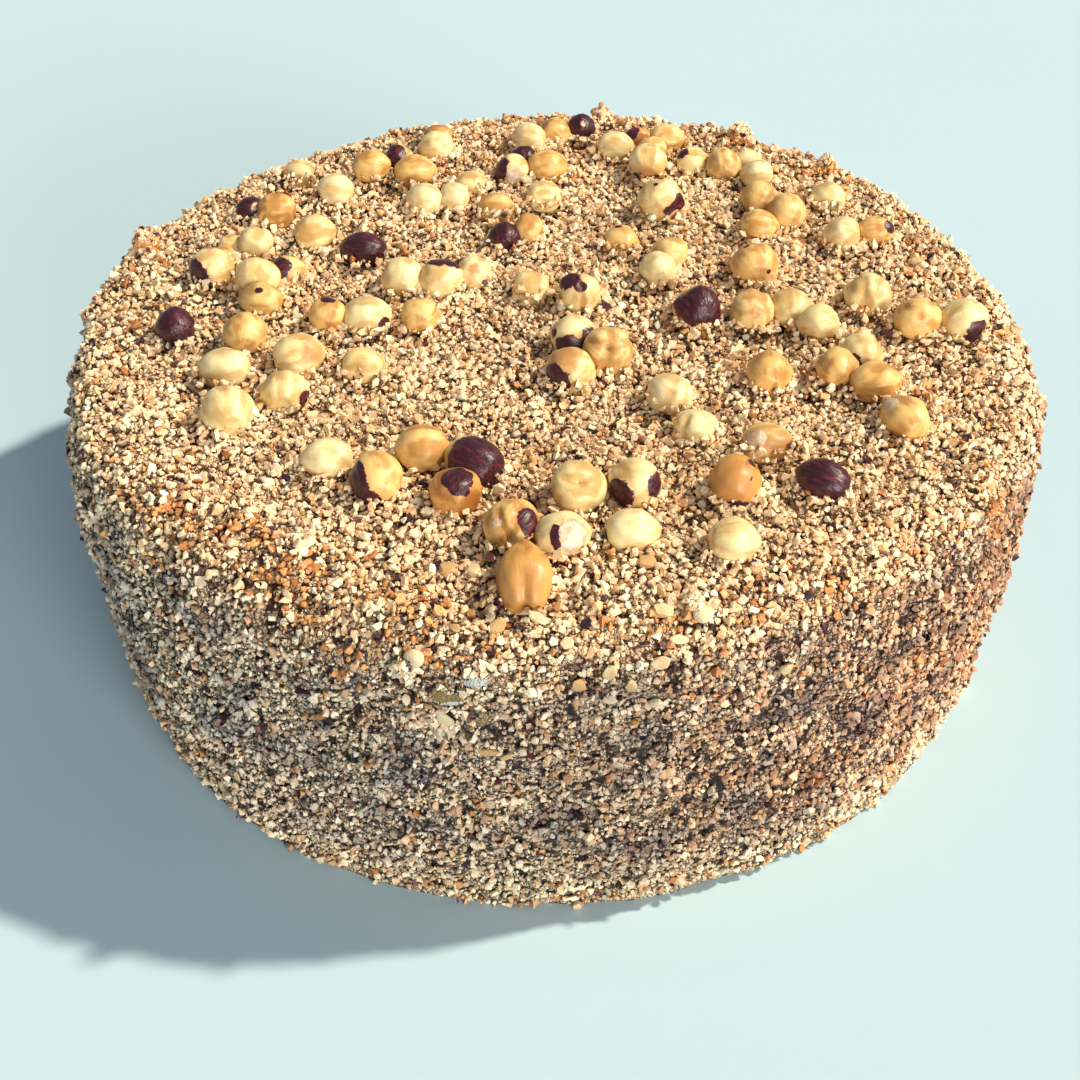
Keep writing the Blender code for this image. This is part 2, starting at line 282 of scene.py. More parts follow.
@dataclass(frozen=True)
class WallShade:
    """The shared effect of the coat's wall: darker patches, painted cool shade at the left and painted warm
    light, redder, at the right; none of it at the shoulder and the foot, so the foot shows lighter as painted
    bounce light.
    """

    name: str = "wall_shade"
    shoulder: Pair = (98 * MM, 76 * MM)
    foot: Pair = (2 * MM, 34 * MM)
    flatten: Triple = (1.0, 1.0, 1.7)
    patch_scale: float = 48.0
    patch_detail: float = 3.0
    patch_reach: Pair = (0.56, 0.40)
    patch_tint: Colour = (0.58, 0.60, 0.71)
    sides: Pair = (-150 * MM, 150 * MM)
    side_power: float = 1.7
    left_painted_shade: Colour = (0.84, 0.87, 0.92)
    right_painted_warm_light: Colour = (0.84, 0.64, 0.56)

    def group(self) -> NodeTree:
        """Build the node group, or find it once it is built.

        Returns:
            A node group that takes a place and a colour and puts out the shaded colour.
        """
        if self.name in bpy.data.node_groups:
            return bpy.data.node_groups[self.name]
        wiring = start_group(self.name, {"Place": "Vector", "Color": "Color"}, {"Color": "Color"})
        given = wiring.add("NodeGroupInput").outputs
        parts = wiring.add("ShaderNodeSeparateXYZ", {"Vector": given["Place"]}).outputs
        wall = wiring.times(wiring.ease(parts["Z"], *self.shoulder), wiring.ease(parts["Z"], *self.foot))
        drawn = wiring.vector("MULTIPLY", {0: given["Place"], 1: self.flatten})
        broad = wiring.noise(drawn, self.patch_scale, self.patch_detail)["Fac"]
        patches = wiring.times(wall, wiring.ease(broad, *self.patch_reach))
        shaded = wiring.blend(patches, given["Color"], rgba(self.patch_tint), "MULTIPLY")
        # painted light: the wall is tinted cool and darker at the left, away from the key lamp, and warmer at
        # the right, towards it
        share = wiring.math("POWER", wiring.ease(parts["X"], *self.sides), self.side_power)
        side = wiring.blend(share, rgba(self.left_painted_shade), rgba(self.right_painted_warm_light))
        wiring.add("NodeGroupOutput", {"Color": wiring.blend(wall, shaded, side, "MULTIPLY")})
        return wiring.tree

    def lay(self, wiring: Wiring, place: object, colour: object) -> NodeSocket:
        """Lay the effect in a material, and give the shaded colour."""
        values = {"Place": place, "Color": colour}
        return wiring.add("ShaderNodeGroup", values, node_tree=self.group()).outputs["Color"]


MOTTLE = Mottle()
WALL_SHADE = WallShade()


@dataclass(frozen=True)
class CrumbFinish:
    """Colours of one sort of crumb, each piece a little lighter or darker by its own tone, with painted shade
    low on each piece and in the gaps.
    """

    name: str
    light: Colour
    deep: Colour
    gap_shade: Colour
    roughness: float = 0.75
    patch_scale: float = 750.0
    grain_scale: float = 1900.0
    bump: float = 0.00032
    gap_shade_reach: Pair = (0.08, 0.58)

    def material(self) -> Material:
        """Build the material.

        Returns:
            The finished material.
        """
        material, wiring, shader = new_material(self.name)
        place = wiring.place()
        flesh = MOTTLE.lay(wiring, place, (self.patch_scale, self.grain_scale), wiring.stored("tone"),
                           rgba(self.light), rgba(self.deep))
        shaded = WALL_SHADE.lay(wiring, place, flesh["Color"])
        # painted shade: where the rise is low, on a bit's lower half and near the core, the colour runs to
        # the gap shade
        colour = wiring.blend(wiring.ease(wiring.stored("rise"), *self.gap_shade_reach), rgba(self.gap_shade), shaded)
        wiring.feed(shader, {"Base Color": colour, "Roughness": self.roughness,
                             "Normal": wiring.bump(flesh["Height"], self.bump)})
        return material


@dataclass(frozen=True)
class MealFinish:
    """Lumps of fine crumb that show between the loose ones, each with its own tone, with painted shade in the
    gaps and cracks between them, darkest on the wall.
    """

    name: str = "fine_crumb_lumps"
    light: Colour = (0.95, 0.76, 0.47)
    deep: Colour = (0.70, 0.43, 0.21)
    gap_shade: Colour = (0.060, 0.013, 0.004)
    wall_light: Colour = (0.92, 0.80, 0.55)
    wall_deep: Colour = (0.60, 0.44, 0.28)
    wall_gap_shade: Colour = (0.018, 0.009, 0.009)
    milky: Colour = (0.56, 0.60, 0.54)
    olive: Colour = (0.27, 0.18, 0.065)
    roughness: float = 0.85
    shoulder: Pair = (76 * MM, 98 * MM)
    cell_size: float = 1.15 * MM
    warp: float = 0.7 * MM
    warp_scale: float = 900.0
    flesh_scales: Pair = (700.0, 2600.0)
    lump_share: float = 0.4
    edge_gain: float = 2.4
    edge_reach: Pair = (0.04, 0.30)
    cell_lift: float = 0.25
    rise_reach: Pair = (0.20, 0.58)
    milk_reach: Pair = (0.4, 0.6)
    worn_stray: float = 1.4
    worn_reach: Pair = (0.15, 0.4)
    edge_height: float = 1.6
    bump: float = 0.00060

    def material(self) -> Material:
        """Build the material.

        Returns:
            The finished material.
        """
        material, wiring, shader = new_material(self.name)
        place = wiring.place()
        level = wiring.add("ShaderNodeSeparateXYZ", {"Vector": place}).outputs["Z"]
        high = wiring.ease(level, *self.shoulder)
        light = wiring.blend(high, rgba(self.wall_light), rgba(self.light))
        deep = wiring.blend(high, rgba(self.wall_deep), rgba(self.deep))
        gap_shade = wiring.blend(high, rgba(self.wall_gap_shade), rgba(self.gap_shade))
        stray = wiring.noise(place, self.warp_scale)
        shift = wiring.vector("SCALE", {0: stray["Color"], "Scale": self.warp})
        cells = {"Vector": wiring.vector("ADD", {0: place, 1: shift}), "Scale": 1 / self.cell_size}
        own = wiring.add("ShaderNodeTexVoronoi", cells).outputs["Color"]
        edge = wiring.add("ShaderNodeTexVoronoi", cells, feature="DISTANCE_TO_EDGE").outputs["Distance"]
        tone = wiring.plus(wiring.times(wiring.stored("tone"), self.lump_share),
                           wiring.times(own, 1 - self.lump_share))
        flesh = MOTTLE.lay(wiring, place, self.flesh_scales, tone, light, deep)
        offset = wiring.math("SUBTRACT", stray["Fac"], 0.5)
        # painted shade: near the cells' edges and where the lump is low, the colour goes to the gap shade
        closed = wiring.plus(wiring.times(edge, self.edge_gain), offset)
        lifted = wiring.plus(wiring.stored("rise"), wiring.times(own, self.cell_lift))
        packed = wiring.times(wiring.ease(closed, *self.edge_reach), wiring.ease(lifted, *self.rise_reach))
        colour = wiring.blend(packed, gap_shade, WALL_SHADE.lay(wiring, place, flesh["Color"]))
        milk = wiring.ease(wiring.stored("milk"), *self.milk_reach)
        smooth = wiring.blend(milk, rgba(self.olive), rgba(self.milky))
        worn = wiring.plus(wiring.stored("bare"), wiring.times(offset, self.worn_stray))
        colour = wiring.blend(wiring.ease(worn, *self.worn_reach), colour, smooth)
        height = wiring.plus(wiring.times(edge, self.edge_height), flesh["Height"])
        wiring.feed(shader, {"Base Color": colour, "Roughness": self.roughness,
                             "Normal": wiring.bump(height, self.bump)})
        return material


@dataclass(frozen=True)
class KernelFinish:
    """Blanched and roasted kernels, with skin, pale and toasted patches where those values pass nought, and
    painted shade: deeper colour in the hollows, paler on the ridges.
    """

    name: str = "roasted_kernel"
    tones: tuple[tuple[Colour, Colour], ...] = (
        ((0.80, 0.68, 0.35), (0.66, 0.45, 0.18)),
        ((0.81, 0.66, 0.31), (0.60, 0.38, 0.13)),
        ((0.76, 0.50, 0.17), (0.50, 0.25, 0.060)),
        ((0.62, 0.31, 0.070), (0.36, 0.13, 0.022)),
    )
    skin_light: Colour = (0.13, 0.014, 0.026)
    skin_deep: Colour = (0.032, 0.004, 0.009)
    pale: Colour = (0.66, 0.56, 0.40)
    pale_deep: Colour = (0.50, 0.31, 0.18)
    toasted: Colour = (0.48, 0.225, 0.060)
    stain: Colour = (0.42, 0.17, 0.06)
    roughness: float = 0.42
    skin_roughness: float = 0.40
    streak: Triple = (0.22, 1.0, 1.0)
    flesh_scales: Pair = (360.0, 1500.0)
    hollow_painted_shade: float = 0.72
    even_depth: float = 0.36
    ragged_scale: float = 420.0
    ragged_detail: float = 4.0
    ragged_roughness: float = 0.65
    ragged_stray: float = 0.9
    toast_reach: Pair = (-0.3, 0.5)
    toast_share: float = 0.85
    chalk_reach: Pair = (0.40, 0.66)
    pale_reach: Pair = (-0.1, 0.2)
    skin_reach: Pair = (-0.02, 0.03)
    stain_reach: Pair = (-0.35, 0.0)
    stain_share: float = 0.35
    ridge_scale: float = 1100.0
    ridge_reach: Pair = (0.46, 0.74)
    grain_height: float = 0.5
    flake_height: float = 2.0
    ridge_height: float = 1.4
    husk_height: float = 0.6
    bump: float = 0.00022
    bump_strength: float = 0.8

    def tone_ramp(self, wiring: Wiring, tone: object, which: int) -> NodeSocket:
        """Read the pale or the deep colour of a tone.

        Args:
            wiring: the material's wiring.
            tone: the socket of the tone, from 0 to 1.
            which: 0 for the pale colour and 1 for the deep one.

        Returns:
            The socket with the colour.
        """
        node = wiring.add("ShaderNodeValToRGB", {"Fac": tone})
        stops = node.color_ramp.elements
        last = len(self.tones) - 1
        for k, pair in enumerate(self.tones):
            stop = stops[0] if k == 0 else stops[-1] if k == last else stops.new(k / last)
            stop.color = rgba(pair[which])
        return node.outputs["Color"]

    def material(self) -> Material:
        """Build the material.

        Returns:
            The finished material.
        """
        material, wiring, shader = new_material(self.name)
        local = wiring.add("ShaderNodeAttribute", attribute_name="kernel").outputs["Vector"]
        tone = wiring.stored("tone")
        drawn = wiring.vector("MULTIPLY", {0: local, 1: self.streak})
        # painted shade: the flesh colour deepens in the hollows and pales on the ridges
        depth = wiring.times(wiring.stored("hollow"), self.hollow_painted_shade)
        flesh = MOTTLE.lay(wiring, drawn, self.flesh_scales, wiring.plus(depth, self.even_depth),
                           self.tone_ramp(wiring, tone, 0), self.tone_ramp(wiring, tone, 1))
        ragged = wiring.noise(local, self.ragged_scale, self.ragged_detail, self.ragged_roughness)["Fac"]
        stray = wiring.times(wiring.math("SUBTRACT", ragged, 0.5), self.ragged_stray)
        toast, pale, skin = (wiring.plus(wiring.stored(mark), stray) for mark in ("toast", "pale", "skin"))
        toast_mask = wiring.times(wiring.ease(toast, *self.toast_reach), self.toast_share)
        colour = wiring.blend(toast_mask, flesh["Color"], rgba(self.toasted))
        chalk = wiring.blend(wiring.ease(ragged, *self.chalk_reach), rgba(self.pale), rgba(self.pale_deep))
        colour = wiring.blend(wiring.ease(pale, *self.pale_reach), colour, chalk)
        stain = wiring.times(wiring.ease(skin, *self.stain_reach), self.stain_share)
        stained = wiring.blend(stain, colour, rgba(self.stain))
        ridges = wiring.noise(drawn, self.ridge_scale)["Fac"]
        ridge = wiring.ease(ridges, *self.ridge_reach)
        husk = wiring.blend(ridge, rgba(self.skin_deep), rgba(self.skin_light))
        mask = wiring.ease(skin, *self.skin_reach)
        drop = wiring.times(mask, self.skin_roughness - self.roughness)
        grain = wiring.times(flesh["Height"], self.grain_height)
        flake = wiring.times(wiring.ease(pale, 0.0, self.pale_reach[1]),
                            wiring.times(ragged, self.flake_height))
        husk_relief = wiring.plus(wiring.times(ridges, self.ridge_height), self.husk_height)
        relief = wiring.plus(wiring.plus(grain, flake), wiring.times(mask, husk_relief))
        wiring.feed(shader, {"Base Color": wiring.blend(mask, stained, husk),
                             "Roughness": wiring.plus(drop, self.roughness),
                             "Normal": wiring.bump(relief, self.bump, self.bump_strength)})
        return material


def add_attribute(mesh: Mesh, name: str, values: np.ndarray) -> None:
    """Store one value for each point of a mesh."""
    attribute = mesh.attributes.new(name, "FLOAT", "POINT")
    attribute.data.foreach_set("value", values.astype(np.float32))


def show(mesh: Mesh, material: Material, replaced: tuple[str, ...] = ()) -> Object:
    """Put a finished mesh in the scene as one piece that rides on the cake.

    Args:
        mesh: the mesh, whose name the piece takes.
        material: its material.
        replaced: the solids that the piece stands for.

    Returns:
        The piece.
    """
    mesh.materials.append(material)
    piece = bpy.data.objects.new(mesh.name, mesh)
    bpy.context.scene.collection.objects.link(piece)
    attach(piece, "root")
    if replaced:
        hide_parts(*replaced)
    LOG.info("%s: %d faces", piece.name, len(mesh.polygons))
    return piece


def held(value: float) -> float:
    """Hold a value between 0 and 1."""
    return min(1.0, max(0.0, value))


@dataclass(frozen=True)
class Fullness:
    """How full the coat is: pits by their size and strength, fewer on the top and at the foot."""

    pits: tuple[Pair, ...] = ((1.9 * MM, 2.5), (11 * MM, 0.6))
    even: float = 0.95
    top_start: float = 80 * MM
    top_run: float = 18 * MM
    top_gain: float = 0.40
    foot_run: float = 14 * MM
    foot_gain: float = 0.50

    def at(self, point: Vector) -> float:
        """Find how full the coat is at a point, from 0 in the middle of a pit to 1."""
        pits = sum(noise.noise(point / size) * strength for size, strength in self.pits)
        top = held((point.z - self.top_start) / self.top_run)
        foot = held(1 - point.z / self.foot_run)
        return held(pits + self.even + self.top_gain * top + self.foot_gain * foot)


@dataclass(frozen=True)
class ThinPlace:
    """Where the coat is worn thin and smooth: its angle in degrees, its height and half sizes in mm."""

    angle: float
    height: float
    half_breadth: float
    half_height: float
    milky: bool = False

    def cover(self, around: float, height: float) -> float:
        """Find how thin the coat is there: 1 in the middle of the place, and less than nought outside."""
        across = math.radians(around - self.angle) * BELLY_RADIUS / (self.half_breadth * MM)
        up = (height - self.height * MM) / (self.half_height * MM)
        return 1.0 - across * across - up * up


FULLNESS = Fullness()
THIN_LEVELS = (65 * MM, 95 * MM)
THIN_PLACES = (
    ThinPlace(-101, 81, 4.5, 1.5), ThinPlace(-94, 84, 6.5, 1.5), ThinPlace(-98, 87, 4.5, 1.5, milky=True),
    ThinPlace(-100.5, 79, 3, 1, milky=True), ThinPlace(-97.5, 73, 2.5, 1.5),
)


def thinness(point: Vector) -> tuple[float, bool]:
    """Find how thin and smooth the coat is worn at a point.

    Args:
        point: the point.

    Returns:
        1 in the middle of a thin place and nought outside, and whether the place is milky.
    """
    if point.y > 0 or not THIN_LEVELS[0] < point.z < THIN_LEVELS[1]:
        return 0.0, False
    around = math.degrees(math.atan2(point.y, point.x - BELLY_SHIFT))
    most, milky = 0.0, False
    for place in THIN_PLACES:
        here = place.cover(around, point.z)
        if here > most:
            most, milky = here, place.milky
    return most, milky


@dataclass
class CoatCore:
    """The cake under its loose crumbs: the solid's own form, with relief of fine lumps, and painted shade in
    the gaps between them.

    The bumps are those on the solid's wall, by angle in degrees and height in mm.
    """

    weld: float = 0.01 * MM
    cuts: int = 4
    smoothing: int = 3
    inset: float = 0.9 * MM
    swells: tuple[Pair, ...] = ((1.4 * MM, 6.0 * MM), (1.7 * MM, 17.0 * MM))
    lump_share: float = 0.80
    lump_stray: float = 0.35 * MM
    lump_height: float = 0.95 * MM
    lump_rises: Pair = (0.5, 1.0)
    lump_edge: float = 0.50 * MM
    pit_floor: float = 0.15
    even_rise: float = 0.5
    worn_gain: float = 2.0
    rim_rise: float = 0.6
    rim_tone: float = 0.4
    bumps: tuple[Pair, ...] = ((-104, 90), (-101, 73), (-79, 55))
    bump_reach: float = 5.0 * MM
    kept_share: float = 0.33
    seed: int = 3
    finish: MealFinish = field(default_factory=MealFinish)
    places: np.ndarray = field(init=False)
    normals: np.ndarray = field(init=False)

    def shape(self) -> BMesh:
        """Shape the core from a copy of the solid.

        Returns:
            The closed core.
        """
        bm = bmesh.new()
        bm.from_mesh(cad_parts["cake"].data)
        bmesh.ops.remove_doubles(bm, verts=bm.verts[:], dist=self.weld)
        under = [face for face in bm.faces if all(vert.co.z < self.weld for vert in face.verts)]
        bmesh.ops.delete(bm, geom=under, context="FACES_ONLY")
        self.refine(bm, self.cuts, self.smoothing)
        bumps = [coat_place(angle, height)[0] for angle, height in self.bumps]
        for vert in [vert for vert in bm.verts if not vert.is_boundary]:
            if any((vert.co - place).length < self.bump_reach for place in bumps):
                self.draw_back(vert)
            swell = sum(noise.noise(vert.co / length) * height for height, length in self.swells)
            vert.co += vert.normal * (swell - self.inset)
            vert.co.z = max(vert.co.z, 0.0)
        bm.normal_update()
        inner = [vert for vert in bm.verts if not vert.is_boundary]
        self.places = np.array([vert.co[:] for vert in inner])
        self.normals = np.array([vert.normal[:] for vert in inner])
        self.refine(bm, 1, 1)
        self.raise_lumps(bm)
        rim = [edge for edge in bm.edges if edge.is_boundary]
        bmesh.ops.holes_fill(bm, edges=rim, sides=len(rim))
        bmesh.ops.triangulate(bm, faces=[face for face in bm.faces if len(face.verts) > 4])
        bm.normal_update()
        return bm

    def draw_back(self, vert: BMVert) -> None:
        """Draw a point of one of the solid's bumps back to the wall, because a larger bit stands there."""
        centre = Vector((BELLY_SHIFT, 0.0, vert.co.z))
        wall, _ = coat_place(0.0, vert.co.z / MM)
        out = vert.co - centre
        vert.co = centre + out * min(1.0, (wall - centre).length / out.length)

    def refine(self, bm: BMesh, cuts: int, smoothing: int) -> None:
        """Cut every face finer and smooth the points inside the rim.

        Args:
            bm: the core, open below.
            cuts: the cuts in each edge.
            smoothing: how many times to smooth.
        """
        bmesh.ops.subdivide_edges(bm, edges=bm.edges[:], cuts=cuts, use_grid_fill=True)
        inner = [vert for vert in bm.verts if not vert.is_boundary]
        for _ in range(smoothing):
            bmesh.ops.smooth_vert(bm, verts=inner, factor=0.5, use_axis_x=True, use_axis_y=True,
                                  use_axis_z=True)
        bm.normal_update()

    def raise_lumps(self, bm: BMesh) -> None:
        """Raise a lump round each of many scattered centres, so that gaps stay between neighbours.

        Args:
            bm: the core, open below, which gets each point's tone and rise; where the rise is low its finish
                paints shade.
        """
        rng = np.random.default_rng(self.seed)
        count = round(len(self.places) * self.lump_share)
        centres = self.places[rng.choice(len(self.places), count, replace=False)]
        centres = centres + rng.normal(size=centres.shape) * self.lump_stray
        tree = KDTree(count)
        for k, centre in enumerate(centres):
            tree.insert(centre, k)
        tree.balance()
        tones = rng.random(count)
        rises = rng.uniform(*self.lump_rises, count)
        layers = bm.verts.layers.float
        tone, rise, bare, milk = (layers.new(name) for name in ("tone", "rise", "bare", "milk"))
        for vert in bm.verts:
            if vert.is_boundary:
                vert[rise], vert[tone] = self.rim_rise, self.rim_tone
                continue
            (_, own, near), (_, _, far) = tree.find_n(vert.co, 2)
            full = self.pit_floor + (1 - self.pit_floor) * FULLNESS.at(vert.co)
            share = min(1.0, (far - near) / self.lump_edge) * rises[own] * full
            worn, vert[milk] = thinness(vert.co)
            share += (self.even_rise - share) * min(1.0, self.worn_gain * worn)
            vert[bare], vert[tone], vert[rise] = worn, tones[own], share
            vert.co += vert.normal * (share - self.even_rise) * self.lump_height
            vert.co.z = max(vert.co.z, 0.0)

    def build(self) -> Object:
        """Build and dress the core.

        Returns:
            The piece.
        """
        bm = self.shape()
        mesh = bpy.data.meshes.new("coat_core")
        bm.to_mesh(mesh)
        bm.free()
        mesh.shade_smooth()
        core = show(mesh, self.finish.material(), ("cake",))
        core.modifiers.new("thinning", "DECIMATE").ratio = self.kept_share
        return core


class Tone(Enum):
    """How dark a kernel is roasted, from 0 to 1."""

    WHITE = 0.0
    CREAM = 0.33
    GOLDEN = 0.66
    ORANGE = 1.0


class Mark(Enum):
    """What covers a patch of a kernel: dark skin, pale broken flesh or a toasted place."""

    SKIN = "skin"
    PALE = "pale"
    TOAST = "toast"


def facing(right: float, up: float) -> Vector:
    """Turn a place in the front view of a kernel into a direction.

    Args:
        right: share of its half width to the right of its centre.
        up: share of its half width above its centre.

    Returns:
        The direction from the kernel's centre.
    """
    pitch = math.radians(PITCH_DEG)
    across = Vector((1.0, 0.0, 0.0))
    upward = Vector((0.0, math.sin(pitch), math.cos(pitch)))
    near = Vector((0.0, -math.cos(pitch), math.sin(pitch)))
    depth = math.sqrt(max(0.0, 1 - right ** 2 - up ** 2))
    return (across * right + upward * up + near * depth).normalized()


@dataclass(frozen=True)
class Patch:
    """A marked patch of a kernel, centred where the front view shows it, with its reach in degrees."""

    mark: Mark
    right: float
    up: float
    size: float

    def cover(self, way: Vector) -> float:
        """Find how well the patch covers a direction: 1 at its centre, nought at its edge, at least -1."""
        return max(-1.0, 1 - way.angle(facing(self.right, self.up)) / math.radians(self.size))


@dataclass(frozen=True)
class Fold:
    """A groove across a kernel, from one place in the front view to another."""

    right: float
    up: float
    to_right: float
    to_up: float
    depth: float = 0.09
    spread: float = 0.16

    def dip(self, way: Vector) -> float:
        """Find how deep the groove is at a direction, as a share of its depth."""
        first, last = facing(self.right, self.up), facing(self.to_right, self.to_up)
        run = last - first
        share = held((way - first).dot(run) / run.length_squared)
        away = way.angle((first + run * share).normalized())
        return math.exp(-(away / self.spread) ** 2)


skin, pale, toast = (partial(Patch, mark) for mark in Mark)


@dataclass
class Nut:
    """One hazelnut: its place on the top and its width in mm as in the solids, and its looks.

    The turn of its length is in degrees. It is sunk in the coat by a share of its height, and its lean is how
    many degrees it tips outwards.
    """

    x: float
    y: float
    width: float
    turn: float
    stretch: float = 1.15
    sunk: float = 0.20
    lean: float = 0.0
    tone: Tone = Tone.CREAM
    marks: tuple[Patch | Fold, ...] = ()
    whole_skin: bool = False
    pointed: bool = False
    creases: int = 4
    crease_depth: float = 0.07

    def __post_init__(self) -> None:
        """Turn the millimetres of the place and width into metres, and the degrees into radians."""
        self.at = Vector((self.x, self.y)) * MM
        self.wide = self.width * MM
        self.heading = math.radians(self.turn)

    def plan_reach(self, way: Vector) -> float:
        """Find how far the kernel, seen from above, reaches from its centre towards a direction."""
        angle = math.atan2(way.y, way.x) - self.heading
        return 0.5 * self.wide * self.stretch / math.hypot(math.cos(angle), self.stretch * math.sin(angle))


@dataclass
class KernelShape:
    """Form of a kernel: the solid's rules for its outline, and the finer relief of a real one."""

    segments: int = 40
    rings: int = 24
    height_share: float = 0.94
    nose: float = 0.22
    lobes: int = 4
    lobe_depth: float = 0.03
    tilt_deg: float = 14.0
    lean_start: float = 0.35
    tip_start: float = 0.78
    tip_length: float = 0.10
    base_start: float = -0.86
    base_flatness: float = 0.65
    dent: float = 0.085
    lump: float = 0.055
    wrinkle: float = 0.030
    skin_lift: float = 0.024
    dent_pace: float = 1.3
    lump_pace: float = 3.0
    wrinkle_pace: Pair = (0.8, 5.0)
    skin_slope: float = 6.0
    bare_gain: float = 1.6
    crease_spreads: Pair = (0.10, 0.26)
    crease_depths: Pair = (0.4, 1.0)
    hollow_gain: float = 9.0
    tone_stray: float = 0.12

    def form(self, kernel: Nut, roll: float, rng: random.Random) -> BMesh:
        """Shape a sphere with its poles on X into the kernel, centred and unturned.

        Args:
            kernel: the kernel.
            roll: turn of its lobes about its length.
            rng: the draws for its finer relief.

        Returns:
            The closed kernel, with a layer that is high in its hollows.
        """
        bm = bmesh.new()
        bmesh.ops.create_uvsphere(bm, u_segments=self.segments, v_segments=self.rings, radius=1.0)
        bmesh.ops.rotate(bm, verts=bm.verts[:], cent=(0, 0, 0), matrix=Matrix.Rotation(math.pi / 2, 3, "Y"))
        hollow = bm.verts.layers.float.new("hollow")
        offset = Vector([rng.uniform(0, 50) for _ in range(3)])
        creases = [(rng.uniform(-math.pi, math.pi), rng.uniform(*self.crease_spreads),
                    rng.uniform(*self.crease_depths)) for _ in range(kernel.creases)]
        half = 0.5 * kernel.wide
        for vert in bm.verts:
            x, y, z = vert.co
            around = math.atan2(z, y)
            side = math.sqrt(max(0.0, 1 - x * x))
            relief = self.lobe_depth * math.cos(self.lobes * around + roll) * side ** 2
            for angle, spread, depth in creases:
                away = (around - angle + math.pi) % (2 * math.pi) - math.pi
                relief -= kernel.crease_depth * depth * math.exp(-(away / spread) ** 2) * side
            relief += self.dent * noise.noise(vert.co * self.dent_pace + offset)
            relief += self.lump * noise.noise(vert.co * self.lump_pace + offset)
            along, across = self.wrinkle_pace
            streak = Vector((x * along, across * math.cos(around), across * math.sin(around)))
            relief += self.wrinkle * noise.noise(streak + offset) * side
            vert[hollow] = -relief
            girth = (1 - self.nose * max(x, 0.0) ** 2) * (1 + relief)
            beyond = max(0.0, (x - self.tip_start) / (1 - self.tip_start))
            tip = beyond ** 2 * self.tip_length * kernel.pointed
            flat = max(0.0, self.base_start - x) * self.base_flatness
            x = (x + tip + flat) * kernel.stretch
            vert.co = Vector((x, y * girth, z * girth * self.height_share)) * half
        return bm

    def bed(self, kernel: Nut, place: Vector) -> float:
        """Find the height of the kernel's bed in the coat.

        Args:
            kernel: the kernel.
            place: a place seen from above.

        Returns:
            The bed's height there.
        """
        out = max(0.0, place.length - kernel.at.length + self.lean_start * kernel.wide)
        return TOP_HEIGHT - math.tan(math.radians(kernel.lean)) * out

    def placed(self, kernel: Nut, rng: random.Random, fine: random.Random) -> BMesh:
        """Shape a kernel and lay it on its bed, turned as the solid is, with its values for the finish.

        Args:
            kernel: the kernel.
            rng: the solids' own draws.
            fine: the draws for its finer relief.

        Returns:
            The closed kernel in place.
        """
        tilt = 0.0 if kernel.lean else math.radians(rng.uniform(-self.tilt_deg, self.tilt_deg))
        roll = rng.uniform(0, 2 * math.pi)
        bm = self.form(kernel, roll, fine)
        layers = bm.verts.layers
        local = layers.float_vector.new("kernel")
        tone = layers.float.new("tone")
        covers = {mark: layers.float.new(mark.value) for mark in Mark}
        hollow = layers.float["hollow"]
        shade = held(kernel.tone.value + fine.uniform(-self.tone_stray, self.tone_stray))
        lying = Matrix.Rotation(kernel.heading, 3, "Z") @ Matrix.Rotation(tilt, 3, "Y")
        across = Vector((-kernel.at.y, kernel.at.x, 0.0))
        spin = Matrix.Rotation(math.radians(kernel.lean), 3, across) @ lying
        own_place = Vector([fine.uniform(0, 1) for _ in range(3)])
        patches = [mark for mark in kernel.marks if isinstance(mark, Patch)]
        folds = [mark for mark in kernel.marks if isinstance(mark, Fold)]
        for vert in bm.verts:
            vert[local] = vert.co + own_place
            vert[tone] = shade
            vert.co = spin @ vert.co
            way = vert.co.normalized()
            for mark, layer in covers.items():
                vert[layer] = max([-1.0] + [patch.cover(way) for patch in patches if patch.mark is mark])
            if kernel.whole_skin:
                vert[covers[Mark.SKIN]] = 1.0 - self.bare_gain * max(0.0, vert[covers[Mark.PALE]])
            dips = sum(groove.depth * groove.dip(way) for groove in folds)
            vert[hollow] = min(1.0, max(-1.0, (vert[hollow] + dips) * self.hollow_gain))
            lift = self.skin_lift * held(vert[covers[Mark.SKIN]] * self.skin_slope + 0.5)
            vert.co *= 1 + lift - dips
        rise = kernel.wide * self.height_share * (0.5 - kernel.sunk)
        bmesh.ops.translate(bm, verts=bm.verts[:], vec=(*kernel.at, self.bed(kernel, kernel.at) + rise))
        return bm


WHITE, _, GOLDEN, ORANGE = Tone

